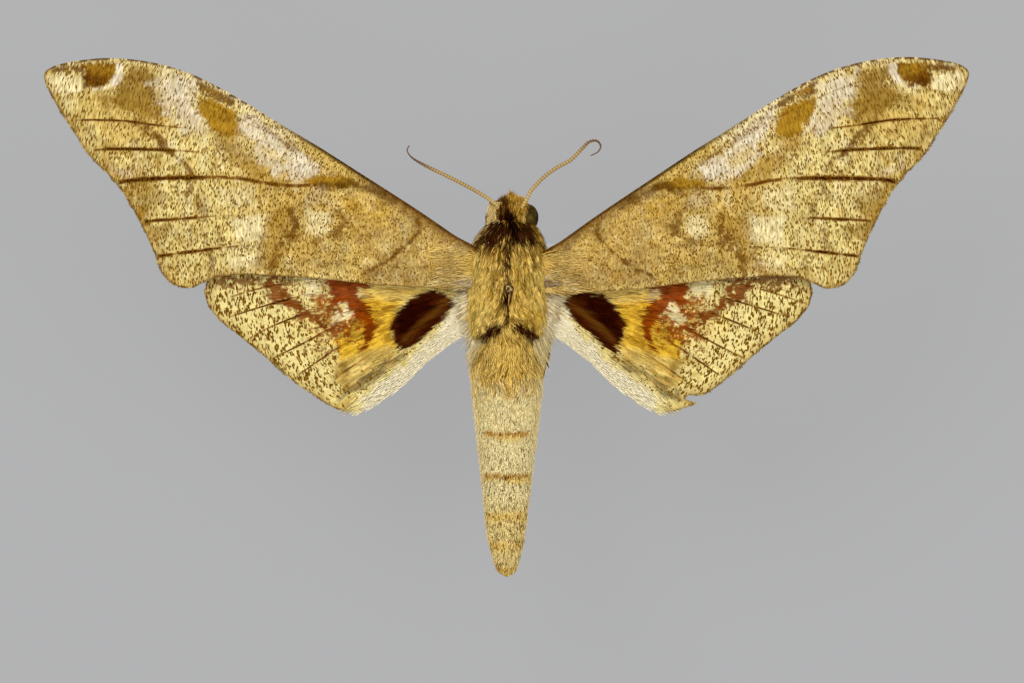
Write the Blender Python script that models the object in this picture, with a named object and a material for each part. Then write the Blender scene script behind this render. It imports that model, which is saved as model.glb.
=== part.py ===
"""A spread hawkmoth, Platysphinx constrigilis, life size, held on its pin above a small block.

Lengths are in millimetres and MM turns them into metres. +X is the moth's right, +Y its head end,
+Z its back. The origin is on the underside of the block, on the pin's axis.
"""

import math
import random

import bmesh
import bpy
from mathutils import Matrix, Vector
from mathutils.geometry import delaunay_2d_cdt

MM = 0.001

# The driving sizes
WINGSPAN = 111.0
BODY_HEIGHT = 26.0  # height of the thorax's middle above the floor
GAP = 0.3  # kept between neighbouring nodes
HALF_SPAN_DRAWN = 55.5  # reach of the outlines below, before they are scaled to WINGSPAN
WING_SCALE = WINGSPAN / 2 / HALF_SPAN_DRAWN

# The stand
BLOCK_SIZE = (44.0, 12.5, 8.0)
BLOCK_MIDDLE_Y = -0.3
BLOCK_BEVEL = 0.8
PIN_RADIUS = 0.32
PIN_TOP = 41.0
PIN_HEAD_RADIUS = 0.65

# Wing membranes
MEMBRANE = 0.5
ROOT_THICKENING = 0.4
ROOT_FADE = 2.5
COSTA_THICKENING = 0.2
VEIN_TOP = 0.17
VEIN_UNDER = 0.08
VEIN_SIDE = 0.45
VEIN_STEP = 3.0
OUTLINE_STEP = 2.2
FILL_STEP = 4.4
FILL_CLEARANCE = 1.25  # of a fill point from the rim and from the veins
ON_VEIN = 0.06  # a point this close to a vein's line is raised
FOREWING_RISE = 1.9  # of the wing sheet over the thorax's middle, at the root
HINDWING_DROP = 1.35  # of the hindwing under the forewing's sheet
ROOT_X = 5.0
SHEET_RISE = 0.085
SHEET_SAG = 0.0006
SHEET_TILT = 0.02
SHEET_TILT_FROM = 5.0

# Each side's forewing is set a little apart from the mirror image: shift along Y and turn, tip forward
FOREWING_SET = {"left": (0.35, -0.55), "right": (-0.35, 0.55)}

FOREWING_OUTLINE = [
    (3.4, 4.2), (6.6, 6.4), (10.9, 9.4), (16.7, 13.2), (22.4, 16.9), (26.8, 19.6), (31.1, 22.3),
    (35.4, 24.8), (39.7, 26.6), (44.0, 27.6), (48.4, 27.9), (52.7, 27.4), (54.7, 26.8), (55.5, 25.9),
    (55.1, 24.4), (53.7, 21.7), (52.0, 19.0), (50.2, 16.2), (48.0, 13.9), (46.4, 12.0), (44.9, 9.5),
    (43.7, 7.1), (42.6, 4.6), (42.0, 2.8), (41.4, 1.6), (40.0, 0.5), (38.2, 0.2), (36.5, 0.9),
    (34.8, 1.5), (31.2, 1.7), (24.0, 1.3), (15.6, 0.4), (9.0, 0.0), (6.0, 0.0), (3.4, 0.4),
]
FOREWING_VEINS = {
    "subcosta": [(3.7, 3.9), (5.6, 5.0), (14.4, 11.1), (25.2, 17.8), (30.6, 21.1)],
    "radius": [
        (3.7, 3.3), (5.6, 4.4), (14.4, 10.0), (22.2, 14.9), (30.0, 19.4), (36.0, 22.5), (42.0, 24.9),
        (48.0, 26.2),
    ],
    "radius_5": [(36.0, 22.5), (42.0, 23.6), (48.0, 24.0), (53.6, 23.8)],
    "media_1": [(24.8, 16.4), (30.0, 18.0), (35.2, 19.1), (41.2, 19.7), (46.5, 20.4), (51.6, 20.5)],
    "media_2": [(24.2, 14.6), (28.8, 15.7), (34.2, 16.3), (40.7, 16.8), (47.1, 17.0), (49.4, 16.9)],
    "media_3": [(23.2, 12.5), (26.0, 12.4), (29.4, 12.8), (32.1, 13.3), (36.7, 13.5), (44.2, 13.3),
                (46.4, 13.0)],
    "cell_end": [(25.0, 16.6), (24.2, 14.6), (23.2, 12.5)],
    "cubitus": [(3.7, 2.7), (5.6, 3.7), (10.8, 6.7), (15.0, 9.0), (19.8, 10.9), (23.2, 12.5)],
    "cubitus_1": [(19.8, 10.9), (25.2, 9.8), (31.2, 9.1), (37.0, 8.7), (43.4, 8.3)],
    "cubitus_2": [(15.0, 9.0), (21.6, 7.0), (27.6, 5.7), (34.6, 5.0), (41.8, 4.1)],
    "anal": [(3.7, 2.0), (5.6, 2.4), (14.4, 2.7), (24.0, 3.4), (30.1, 3.7), (35.6, 2.2)],
}
HINDWING_OUTLINE = [
    (3.4, 1.0), (6.5, 2.5), (12.0, 3.9), (20.0, 4.7), (28.0, 4.6), (33.0, 3.4), (35.8, 1.7), (36.6, 0.3),
    (36.5, -0.9), (35.9, -2.3), (34.6, -3.8), (33.1, -5.0), (31.0, -6.7), (28.3, -9.0), (25.7, -11.2),
    (23.4, -12.7), (21.6, -13.9), (19.6, -14.6), (17.6, -14.4), (15.8, -13.7), (13.8, -12.3),
    (12.0, -10.9), (10.4, -9.3), (8.8, -7.8), (7.0, -6.5), (5.2, -5.2), (3.4, -4.0),
]
TORN_AFTER = (25.7, -11.2)
TORN_BEFORE = (19.6, -14.6)
TORN_EDGE = [(23.7, -12.5), (21.5, -12.7), (21.4, -13.2), (22.6, -13.6), (21.2, -14.2)]
HINDWING_VEINS = {
    "subcosta": [(3.7, -0.5), (5.8, 0.5), (14.4, 3.0), (26.4, 3.5), (34.2, 2.2)],
    "radius": [(3.7, -1.2), (5.8, -0.6), (10.0, 0.4), (15.6, 1.3), (24.0, 1.2), (30.0, 0.2), (35.5, -1.5)],
    "media_1": [(15.6, 1.3), (22.8, -0.1), (28.4, -1.6), (33.6, -3.2)],
    "media_2": [(16.2, 0.0), (22.2, -1.9), (28.4, -4.3), (31.0, -5.7)],
    "media_3": [(15.9, -1.2), (18.4, -2.5), (23.5, -5.7), (28.2, -8.1)],
    "cell_end": [(15.6, 1.3), (16.2, 0.0), (15.9, -1.2)],
    "cubitus": [(3.7, -1.8), (5.8, -1.6), (10.0, -2.0), (15.9, -1.2)],
    "cubitus_1": [(10.0, -2.0), (14.2, -3.4), (20.2, -6.7), (25.2, -10.1)],
    "cubitus_2": [(3.7, -2.4), (5.8, -2.5), (9.6, -3.6), (16.2, -7.4), (22.3, -11.6)],
    "anal": [(3.7, -3.0), (5.8, -3.6), (10.2, -6.2), (13.7, -8.7), (19.3, -12.4)],
}

# Body profiles: place along Y, half width, half height, middle in X, middle over BODY_HEIGHT
THORAX_PROFILE = [
    (8.0, 2.4, 2.4, 0.25, -0.1), (7.0, 3.1, 3.0, 0.15, -0.1), (5.9, 3.75, 3.5, 0.05, -0.05),
    (4.5, 4.15, 3.9, -0.05, 0.0), (2.0, 4.3, 4.2, -0.1, 0.0), (-1.0, 4.3, 4.2, -0.15, 0.0),
    (-3.5, 4.1, 4.0, -0.2, 0.0), (-5.4, 3.75, 3.6, -0.2, 0.0),
]
ABDOMEN_PROFILE = [
    (-5.8, 2.9, 2.7, -0.2, -0.1), (-7.2, 3.5, 3.25, -0.2, -0.1), (-9.3, 4.0, 3.7, -0.25, -0.15),
    (-12.2, 3.9, 3.6, -0.2, -0.2),
    (-17.3, 3.4, 3.2, -0.2, -0.3), (-22.4, 2.9, 2.75, -0.22, -0.4), (-27.0, 2.45, 2.35, -0.3, -0.5),
    (-30.4, 2.1, 2.0, -0.3, -0.55), (-32.4, 1.5, 1.45, -0.28, -0.6), (-34.0, 0.8, 0.8, -0.3, -0.6),
]
SEGMENT_ENDS = (-9.3, -13.2, -17.3, -22.4, -27.0, -30.4, -32.9)
SEGMENT_LIP = 0.16
BODY_SIDES = 20
HEAD_MIDDLE = (0.35, 9.1, -0.1)
HEAD_RADII = (2.5, 2.0, 2.25)
HEAD_ROLL_DEG = 10.0
HEAD_SIDES = 16
HEAD_RINGS = 10
EYE_RADII = (1.25, 1.62, 1.65)
EYE_OFFSET = (2.0, -0.3, -0.3)
EYE_SIDES = 12
EYE_RINGS = 8

# Locks of long scales
LOCK_SINK = 0.55
LOCK_STATIONS = (0.0, 0.42, 0.78)
LOCK_TAPER = 0.6
LOCK_ROOT_WIDTH = 0.8  # share of the full width at a lock's root
LOCK_TIP_THINNING = 0.6
BODY_LOCK_WIDTH = 2.3
BODY_LOCK_THICKNESS = 0.6
HEAD_LOCK_WIDTH = 1.35
HEAD_LOCK_THICKNESS = 0.55
THORAX_ROWS = [
    # y, length, how many round the body, first and last angle, fan to the sides, lift, end lift
    (7.9, 2.4, 8, 0, 180, 0.0, 0.3, 0.5),
    (6.5, 2.9, 9, -14, 194, 0.0, 0.4, 0.6),
    (4.9, 3.4, 8, 8, 172, 0.0, 0.45, 0.7),
    (3.0, 3.6, 8, 16, 164, 0.04, 0.5, 0.8),
    (1.1, 3.8, 8, 16, 164, 0.05, 0.5, 0.85),
    (-0.9, 3.8, 8, 14, 166, 0.05, 0.55, 0.9),
    (-2.7, 3.8, 8, 16, 164, 0.06, 0.6, 0.95),
    (-4.4, 3.0, 3, 38, 74, 0.1, 0.7, 0.95),
    (-4.4, 3.0, 3, 106, 142, 0.1, 0.7, 0.95),
    (5.6, 3.0, 4, 222, 318, 0.0, 0.4, 0.6),
    (3.4, 3.4, 4, 218, 322, 0.0, 0.4, 0.6),
    (0.8, 3.4, 4, 218, 322, 0.0, 0.4, 0.6),
    (-1.9, 3.2, 4, 214, 326, 0.0, 0.4, 0.6),
]
REAR_REACH = -7.3  # how far back the thorax's own locks may end
ABDOMEN_ROWS = [
    # y, length, how many round the body, share of a step that the row is shifted
    (-7.7, 3.3, 11, 0.0),
    (-9.6, 3.3, 11, 0.5),
    (-11.6, 3.0, 11, 0.0),
]
HEAD_ROWS = [
    # degrees up from the brow, how many, degrees that they spread over to the sides, length
    (0, 5, 90, 0.95),
    (24, 5, 84, 1.05),
    (48, 4, 80, 1.15),
    (72, 4, 130, 1.2),
]

# Room kept for the wings' roots where the thorax's locks would cross them
WING_ROOM_X = (3.0, 9.0)
FOREWING_ROOM_Y = (-1.0, 7.5)
HINDWING_ROOM_Y = (-6.6, 3.8)

# Feelers, from the head out to the hooked tip: place in x, y and height over BODY_HEIGHT
ANTENNA_LEFT = [
    (-1.15, 9.9, 1.2), (-1.75, 10.55, 1.6), (-3.4, 11.65, 1.9), (-5.6, 12.85, 2.0), (-7.7, 13.9, 2.1),
    (-10.0, 15.0, 2.2), (-11.6, 15.95, 2.2), (-12.2, 16.8, 2.2), (-11.95, 17.45, 2.2),
]
ANTENNA_RIGHT = [
    (1.55, 9.9, 1.6), (2.15, 10.9, 2.0), (2.8, 12.1, 2.1), (4.4, 13.75, 2.2), (5.9, 14.8, 2.3),
    (7.5, 15.7, 2.4), (8.8, 17.0, 2.4), (9.7, 17.85, 2.4), (10.6, 18.0, 2.4), (11.1, 17.4, 2.4),
    (10.8, 16.7, 2.4), (9.9, 16.2, 2.4),
]
ANTENNA_RADIUS = 0.27
ANTENNA_TIP_RADIUS = 0.12
ANTENNA_SLIMS_AT = 0.62

# Legs, as drawn up under a set moth: hip, knee, shin's end, foot's middle and claw, for the right side
LEGS = {
    "leg_fore": [(1.3, 4.6, -3.6), (3.2, 7.2, -5.0), (2.5, 3.4, -6.6), (1.9, 0.6, -7.0), (1.6, -1.8, -6.9)],
    "leg_mid": [(1.7, 1.2, -4.0), (4.5, 0.2, -5.4), (4.1, -5.0, -5.9), (3.4, -8.0, -6.1), (2.8, -10.8, -6.0)],
    "leg_hind": [(1.7, -2.6, -3.8), (4.9, -4.0, -4.6), (4.5, -8.8, -4.3), (3.6, -12.4, -4.4),
                 (2.9, -15.6, -4.5)],
}
LEG_SPREAD = {"left": 0.9, "right": 1.0}
THIGH_RADII = (0.72, 0.72, 0.5)
SHIN_RADII = (0.46, 0.34)
FOOT_RADII = (0.28, 0.25)
SPUR_LENGTH = 1.3
LEG_SIDES = 7

# Mouth parts, measured from the head's middle, and the tongue in the body's own plane
PALP = [(0.85, 0.75, -1.7), (0.9, 1.35, -2.05), (0.95, 1.95, -1.7), (0.88, 2.3, -1.0), (0.82, 2.45, -0.2)]
PALP_RADII = (0.36, 0.42, 0.45, 0.36, 0.0)
TONGUE_TURNS = 1.6
TONGUE_STEPS = 18
TONGUE_RADII = (1.05, 0.3)
TONGUE_MIDDLE = (8.2, -3.9)
TONGUE_ROOT = (7.9, -1.9)
TONGUE_THICKNESS = (0.18, 0.13)


def smoothed(points, closed, step):
    """Points along a Catmull-Rom curve through the given ones, no further apart than step."""
    count = len(points)
    rounded = []
    for i in range(count if closed else count - 1):
        if closed:
            a, b, c, d = (Vector(points[(i + k) % count]) for k in (-1, 0, 1, 2))
        else:
            a, b, c, d = (Vector(points[min(max(i + k, 0), count - 1)]) for k in (-1, 0, 1, 2))
        spans = max(1, math.ceil((c - b).length / step))
        for k in range(spans):
            t = k / spans
            square = a * 2 - b * 5 + c * 4 - d
            cube = b * 3 - a - c * 3 + d
            rounded.append((b * 2 + (c - a) * t + square * t**2 + cube * t**3) / 2)
    if not closed:
        rounded.append(Vector(points[-1]))
    return rounded


def profile_at(profile, y):
    """Half width, half height, middle x and middle height of a body profile at y."""
    if y >= profile[0][0]:
        return profile[0][1:]
    for before, after in zip(profile, profile[1:]):
        if y >= after[0]:
            share = (before[0] - y) / (before[0] - after[0])
            return tuple(p + (q - p) * share for p, q in zip(before[1:], after[1:]))
    return profile[-1][1:]


def body_point(profile, y, angle, height):
    """A point over a body's surface: angle 0 is its right side and 90 degrees its back."""
    half_width, half_height, middle_x, middle_z = profile_at(profile, y)
    return Vector((
        middle_x + (half_width + height) * math.cos(angle),
        y,
        BODY_HEIGHT + middle_z + (half_height + height) * math.sin(angle),
    ))


def sheet_height(x, y):
    """Height of the wings' common sheet at a place in the wing's own x (outwards) and y."""
    out = abs(x) - ROOT_X
    bend = SHEET_RISE * out - SHEET_SAG * out * abs(out)
    return BODY_HEIGHT + FOREWING_RISE + bend + SHEET_TILT * (y - SHEET_TILT_FROM)


def material(name, colour, roughness, metallic=0.0):
    """A plain Principled material."""
    made = bpy.data.materials.get(name) or bpy.data.materials.new(name)
    made.use_nodes = True
    shader = made.node_tree.nodes["Principled BSDF"]
    shader.inputs["Base Color"].default_value = (*colour, 1.0)
    shader.inputs["Roughness"].default_value = roughness
    shader.inputs["Metallic"].default_value = metallic
    return made


def add_object(name, points, faces, finish=None):
    """A mesh object from points in millimetres."""
    mesh = bpy.data.meshes.new(name)
    mesh.from_pydata([Vector(p) * MM for p in points], [], faces)
    made = bpy.data.objects.new(name, mesh)
    bpy.context.scene.collection.objects.link(made)
    if finish:
        mesh.materials.append(finish)
    return made


def face_out(obj):
    """Turns an object's faces to point out of it."""
    work = bmesh.new()
    work.from_mesh(obj.data)
    bmesh.ops.recalc_face_normals(work, faces=work.faces)
    work.to_mesh(obj.data)
    work.free()
    return obj


def rings_to_faces(count, sides, last):
    """Faces joining rings of points, with the first ring closed flat and the last point a tip."""
    faces = [tuple(range(sides))]
    for r in range(count - 1):
        for s in range(sides):
            t = (s + 1) % sides
            faces.append((r * sides + s, r * sides + t, (r + 1) * sides + t, (r + 1) * sides + s))
    base = (count - 1) * sides
    faces += [(base + s, base + (s + 1) % sides, last) for s in range(sides)]
    return faces


def swept(name, path, radii, sides, finish=None, grow=0.0):
    """A tube along a path with its own radius at each point, flat at its start and pointed at its end.

    With grow it is the room that the tube needs, larger all round by that length.
    """
    if grow:
        start = Vector(path[0]) - (Vector(path[1]) - Vector(path[0])).normalized() * grow
        end = Vector(path[-1]) + (Vector(path[-1]) - Vector(path[-2])).normalized() * grow
        path = [start, *path, end]
        radii = [radii[0] + grow, *(radius + grow for radius in radii), 0.0]
    points = []
    side = Vector((1, 0, 0))
    for i in range(len(path) - 1):
        along = (Vector(path[i + 1]) - Vector(path[max(i - 1, 0)])).normalized()
        up = along.cross(side).normalized() if abs(along.dot(side)) < 0.95 else Vector((0, 0, 1))
        side = up.cross(along).normalized()
        for s in range(sides):
            angle = 2 * math.pi * s / sides
            points.append(
                Vector(path[i]) + (side * math.cos(angle) + up * math.sin(angle)) * radii[i]
            )
    points.append(Vector(path[-1]))
    return face_out(add_object(name, points, rings_to_faces(len(path) - 1, sides, len(points) - 1), finish))


def body_loft(name, profile, stations, finish=None, grow=0.0, point_out=0.0):
    """A closed body through rings at the stations, each a (y, extra radius) pair."""
    points = []
    for y, extra in stations:
        for s in range(BODY_SIDES):
            points.append(body_point(profile, y, 2 * math.pi * s / BODY_SIDES, extra + grow))
    last_y = stations[-1][0] - point_out
    _, _, middle_x, middle_z = profile_at(profile, last_y)
    points.append(Vector((middle_x, last_y, BODY_HEIGHT + middle_z)))
    faces = rings_to_faces(len(stations), BODY_SIDES, len(points) - 1)
    return face_out(add_object(name, points, faces, finish))


def ball(name, middle, radii, segments, rings, finish=None):
    """An ellipsoid."""
    work = bmesh.new()
    bmesh.ops.create_uvsphere(work, u_segments=segments, v_segments=rings, radius=1.0)
    bmesh.ops.scale(work, vec=[r * MM for r in radii], verts=work.verts)
    bmesh.ops.translate(work, vec=Vector(middle) * MM, verts=work.verts)
    mesh = bpy.data.meshes.new(name)
    work.to_mesh(mesh)
    work.free()
    made = bpy.data.objects.new(name, mesh)
    bpy.context.scene.collection.objects.link(made)
    if finish:
        mesh.materials.append(finish)
    return made


def apply_boolean(obj, operation, others):
    """Joins or cuts an object with a collection of others, applies it and removes the others."""
    if not others:
        return
    group = bpy.data.collections.new("operands")
    bpy.context.scene.collection.children.link(group)
    for other in others:
        group.objects.link(other)
    step = obj.modifiers.new(operation.lower(), "BOOLEAN")
    step.operation = operation
    step.operand_type = "COLLECTION"
    step.collection = group
    step.solver = "MANIFOLD"
    graph = bpy.context.evaluated_depsgraph_get()
    made = bpy.data.meshes.new_from_object(obj.evaluated_get(graph))
    obj.modifiers.clear()
    old = obj.data
    obj.data = made
    made.name = obj.name
    bpy.data.meshes.remove(old)
    for other in others:
        bpy.data.objects.remove(other)
    bpy.data.collections.remove(group)


def surfaces_of(work):
    """The separate closed surfaces of a bmesh, as lists of its faces."""
    left = set(work.faces)
    found = []
    while left:
        stack = [left.pop()]
        group = []
        while stack:
            face = stack.pop()
            group.append(face)
            for edge in face.edges:
                for other in edge.link_faces:
                    if other in left:
                        left.remove(other)
                        stack.append(other)
        found.append(group)
    return found


def keep_largest(obj):
    """Keeps an object's largest closed surface, measured by its box."""
    work = bmesh.new()
    work.from_mesh(obj.data)
    groups = surfaces_of(work)

    def reach(group):
        corners = [v.co for face in group for v in face.verts]
        return sum(max(c[k] for c in corners) - min(c[k] for c in corners) for k in range(3))

    groups.sort(key=reach)
    dropped = {v for group in groups[:-1] for face in group for v in face.verts}
    bmesh.ops.delete(work, geom=list(dropped), context="VERTS")
    work.to_mesh(obj.data)
    work.free()


def shade(obj, degrees=35.0):
    """Smooth shading with sharp edges over an angle."""
    obj.data.shade_smooth()
    obj.data.set_sharp_from_angle(angle=math.radians(degrees))


def lock_shape(name, path, normals, width, thickness):
    """A flat, tapered lock along a path, widest near its root and pointed at its end."""
    points = []
    for i, share in enumerate(LOCK_STATIONS):
        along = (path[i + 1] - path[max(i - 1, 0)]).normalized()
        side = along.cross(normals[i]).normalized()
        lift = side.cross(along)
        taper = math.cos(share * math.pi / 2) ** LOCK_TAPER if share else LOCK_ROOT_WIDTH
        half = side * width / 2 * taper
        rise = lift * thickness / 2 * (1 - share * LOCK_TIP_THINNING)
        points += [path[i] - half, path[i] + rise, path[i] + half, path[i] - rise]
    points.append(path[-1])
    return face_out(add_object(name, points, rings_to_faces(len(LOCK_STATIONS), 4, len(points) - 1)))


def body_lock(profile, y, angle, length, fan, lift, end_lift):
    """The path of a lock that lies back along a body, with the surface's direction out at each point.

    fan turns it round the body as it goes back, lift is its height over the skin half way, and
    end_lift its height at the tip.
    """
    heights = (-LOCK_SINK, lift, (lift + end_lift) / 2, end_lift)
    shares = (*LOCK_STATIONS, 1.0)
    path, normals = [], []
    for share, height in zip(shares, heights):
        place = y - length * share
        turned = angle + fan * share
        path.append(body_point(profile, place, turned, height))
        normals.append((body_point(profile, place, turned, height + 1.0) - path[-1]).normalized())
    return path, normals


def point_in_outline(point, outline):
    """Whether a point lies inside a closed outline."""
    inside = False
    for a, b in zip(outline, outline[1:] + outline[:1]):
        if (a.y > point.y) != (b.y > point.y):
            if point.x < a.x + (point.y - a.y) / (b.y - a.y) * (b.x - a.x):
                inside = not inside
    return inside


def distance_to_line(point, line):
    """Distance from a point to a polyline."""
    best = 1e9
    for a, b in zip(line, line[1:]):
        run = b - a
        share = max(0.0, min(1.0, (point - a).dot(run) / max(run.length_squared, 1e-12)))
        best = min(best, (point - a - run * share).length)
    return best


def wing_points(outline, veins):
    """The plan of a wing: its points and the edges that its triangles must keep."""
    rim = smoothed(outline, True, OUTLINE_STEP)
    lines = {name: smoothed(points, False, VEIN_STEP) for name, points in veins.items()}
    points, edges = list(rim), []
    edges += [(i, (i + 1) % len(rim)) for i in range(len(rim))]
    for line in lines.values():
        start = len(points)
        points += line
        edges += [(start + i, start + i + 1) for i in range(len(line) - 1)]
    closed_rim = rim + rim[:1]
    beside = []
    for line in lines.values():
        for i, here in enumerate(line):
            run = (line[min(i + 1, len(line) - 1)] - line[max(i - 1, 0)]).normalized()
            for way in (-1, 1):
                spot = here + Vector((-run.y, run.x)) * VEIN_SIDE * way
                clear = all(distance_to_line(spot, other) > VEIN_SIDE * 0.8 for other in lines.values())
                apart = all((spot - other).length > VEIN_SIDE * 0.9 for other in beside)
                within = point_in_outline(spot, rim) and distance_to_line(spot, closed_rim) > VEIN_SIDE
                if clear and apart and within:
                    beside.append(spot)
    points += beside
    low_x, high_x = min(p.x for p in rim), max(p.x for p in rim)
    low_y, high_y = min(p.y for p in rim), max(p.y for p in rim)
    row = 0
    y = low_y
    while y < high_y:
        x = low_x + (row % 2) * FILL_STEP / 2
        while x < high_x:
            spot = Vector((x, y))
            nearest = min(distance_to_line(spot, line) for line in (closed_rim, *lines.values()))
            if point_in_outline(spot, rim) and nearest > FILL_CLEARANCE:
                points.append(spot)
            x += FILL_STEP
        y += FILL_STEP * 0.85
        row += 1
    return points, edges, rim, lines


def turned_place(point, side, moved):
    """A place of the right wing's plan moved to its own side, with that side's shift and turn."""
    shift, turn = FOREWING_SET[side] if moved else (0.0, 0.0)
    turn = math.radians(turn)
    out, forward = point.x - ROOT_X, point.y
    x = ROOT_X + out * math.cos(turn) - forward * math.sin(turn)
    y = out * math.sin(turn) + forward * math.cos(turn) + shift
    return (x if side == "right" else -x), y


def make_wing(name, outline, veins, drop, side, moved, finish):
    """One wing: a thin membrane whose two faces share their triangles, with raised veins."""
    points, edges, rim, lines = wing_points([Vector(p) * WING_SCALE for p in outline], {
        key: [Vector(p) * WING_SCALE for p in line] for key, line in veins.items()
    })
    flat, _, triangles, *_ = delaunay_2d_cdt(points, edges, [list(range(len(rim)))], 1, 1e-5)
    costa = rim[: rim.index(max(rim, key=lambda place: place.x))]
    top, under = [], []
    for place in flat:
        vein = min(distance_to_line(place, line) for line in lines.values())
        raised = 1.0 if vein < ON_VEIN else 0.0
        thick = MEMBRANE + ROOT_THICKENING * math.exp(-max(place.x - ROOT_X, 0.0) / ROOT_FADE)
        if drop == 0.0 and distance_to_line(place, costa) < VEIN_SIDE:
            thick += COSTA_THICKENING
        x, y = turned_place(place, side, moved)
        middle = sheet_height(x, y) - drop
        top.append(Vector((x, y, middle + thick / 2 + VEIN_TOP * raised)))
        under.append(Vector((x, y, middle - thick / 2 - VEIN_UNDER * raised)))
    count = len(flat)
    faces = [tuple(face) for face in triangles]
    uses = {}
    for face in faces:
        for a, b in zip(face, face[1:] + face[:1]):
            uses[frozenset((a, b))] = uses.get(frozenset((a, b)), 0) + 1
    walls = []
    for face in faces:
        for a, b in zip(face, face[1:] + face[:1]):
            if uses[frozenset((a, b))] == 1:
                walls += [(a, count + a, count + b), (a, count + b, b)]
    under_faces = [tuple(count + i for i in reversed(face)) for face in faces]
    made = face_out(add_object(name, top + under, faces + under_faces + walls, finish))
    stations = [(ring[0], 0.0) for ring in THORAX_PROFILE]
    room = body_loft("thorax_room", THORAX_PROFILE, stations, grow=GAP, point_out=1.0)
    apply_boolean(made, "DIFFERENCE", [room])
    keep_largest(made)
    return made


def make_abdomen(finish):
    """The abdomen: ringed segments, each with a lip over the next, and long locks on its base."""
    stations = [(ABDOMEN_PROFILE[0][0], 0.0), (ABDOMEN_PROFILE[1][0], 0.0)]
    for end in SEGMENT_ENDS:
        stations += [(end + 0.15, SEGMENT_LIP), (end - 0.25, 0.0)]
    stations.append((ABDOMEN_PROFILE[-1][0], 0.0))
    made = body_loft("abdomen", ABDOMEN_PROFILE, stations, finish, point_out=0.4)
    draw = random.Random(11)
    locks = []
    for y, length, count, shift in ABDOMEN_ROWS:
        for k in range(count):
            angle = math.radians(-38 + (k + shift) * 256 / (count - 1) + draw.uniform(-3, 3))
            size = draw.uniform(0.9, 1.1)
            path, normals = body_lock(
                ABDOMEN_PROFILE, y + draw.uniform(-0.2, 0.2), angle, length * size,
                draw.uniform(-0.08, 0.08), 0.42, draw.uniform(0.45, 0.8),
            )
            locks.append(lock_shape("lock", path, normals, BODY_LOCK_WIDTH * size, BODY_LOCK_THICKNESS))
    apply_boolean(made, "UNION", locks)
    keep_largest(made)
    return made


def wing_room(side, drop, reach):
    """The room round a wing's root, which the thorax's locks keep clear of."""
    half = MEMBRANE / 2 + ROOT_THICKENING / 2 + VEIN_TOP + GAP
    way = 1 if side == "right" else -1
    points = []
    for rise in (-half, half):
        for out, place in ((0, 0), (1, 0), (1, 1), (0, 1)):
            x, y = WING_ROOM_X[out], reach[place]
            points.append((x * way, y, sheet_height(x, y) - drop + rise))
    faces = [(0, 1, 2, 3), (4, 7, 6, 5), (0, 4, 5, 1), (1, 5, 6, 2), (2, 6, 7, 3), (3, 7, 4, 0)]
    return face_out(add_object("wing_room", points, faces))


def pin_rooms():
    """The room round the pin where it enters the thorax's back and where it leaves underneath."""
    back = body_point(THORAX_PROFILE, 0, math.pi / 2, 0).z
    under = body_point(THORAX_PROFILE, 0, -math.pi / 2, 0).z
    radii = (PIN_RADIUS + GAP, PIN_RADIUS + GAP, 0.0)
    rooms = []
    for start, way in ((back, 1), (under, -1)):
        line = [Vector((0, 0, start)), Vector((0, 0, start + 2.5 * way)), Vector((0, 0, start + 3.0 * way))]
        rooms.append(swept("pin_room", line, radii, 12))
    return rooms


def make_thorax(finish):
    """The thorax: a plain core under overlapping locks of long scales that lie back along it."""
    stations = [(ring[0], 0.0) for ring in THORAX_PROFILE]
    made = body_loft("thorax", THORAX_PROFILE, stations, finish, point_out=0.15)
    draw = random.Random(7)
    locks = []
    for y, length, count, first, last, fan, lift, end_lift in THORAX_ROWS:
        for k in range(count):
            angle = math.radians(first + k * (last - first) / (count - 1) + draw.uniform(-2.5, 2.5))
            size = draw.uniform(0.9, 1.12)
            root = y + draw.uniform(-0.25, 0.25)
            reach = min(length * size, root - REAR_REACH)
            sideways = fan if math.cos(angle) < 0 else -fan
            path, normals = body_lock(
                THORAX_PROFILE, root, angle, reach, sideways + draw.uniform(-0.06, 0.06),
                lift, end_lift * draw.uniform(0.85, 1.15),
            )
            locks.append(lock_shape("lock", path, normals, BODY_LOCK_WIDTH * size, BODY_LOCK_THICKNESS))
    coat = locks.pop()
    apply_boolean(coat, "UNION", locks)
    rooms = pin_rooms()
    for side in ("left", "right"):
        rooms.append(wing_room(side, 0.0, FOREWING_ROOM_Y))
        rooms.append(wing_room(side, HINDWING_DROP, HINDWING_ROOM_Y))
    apply_boolean(coat, "DIFFERENCE", rooms)
    apply_boolean(made, "UNION", [coat])
    head_room = [radius + GAP for radius in HEAD_RADII]
    eye_room = [radius + GAP for radius in EYE_RADII]
    clear = [ball("head_room", head_place((0, 0, 0)), head_room, HEAD_SIDES, HEAD_RINGS)]
    for side in ("left", "right"):
        clear.append(ball("eye_room", eye_place(side), eye_room, EYE_SIDES, EYE_RINGS))
        clear += [leg_thigh(kind, side, GAP) for kind in LEGS]
    clear.append(make_proboscis(None, GAP))
    apply_boolean(made, "DIFFERENCE", clear)
    keep_largest(made)
    return made


def head_place(offset):
    """A place on the head, which is rolled a little towards its left."""
    roll = Matrix.Rotation(math.radians(-HEAD_ROLL_DEG), 3, "Y")
    return Vector(HEAD_MIDDLE) + Vector((0, 0, BODY_HEIGHT)) + roll @ Vector(offset)


def eye_place(side):
    """The middle of one eye."""
    way = 1 if side == "right" else -1
    return head_place((EYE_OFFSET[0] * way, EYE_OFFSET[1], EYE_OFFSET[2]))


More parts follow.
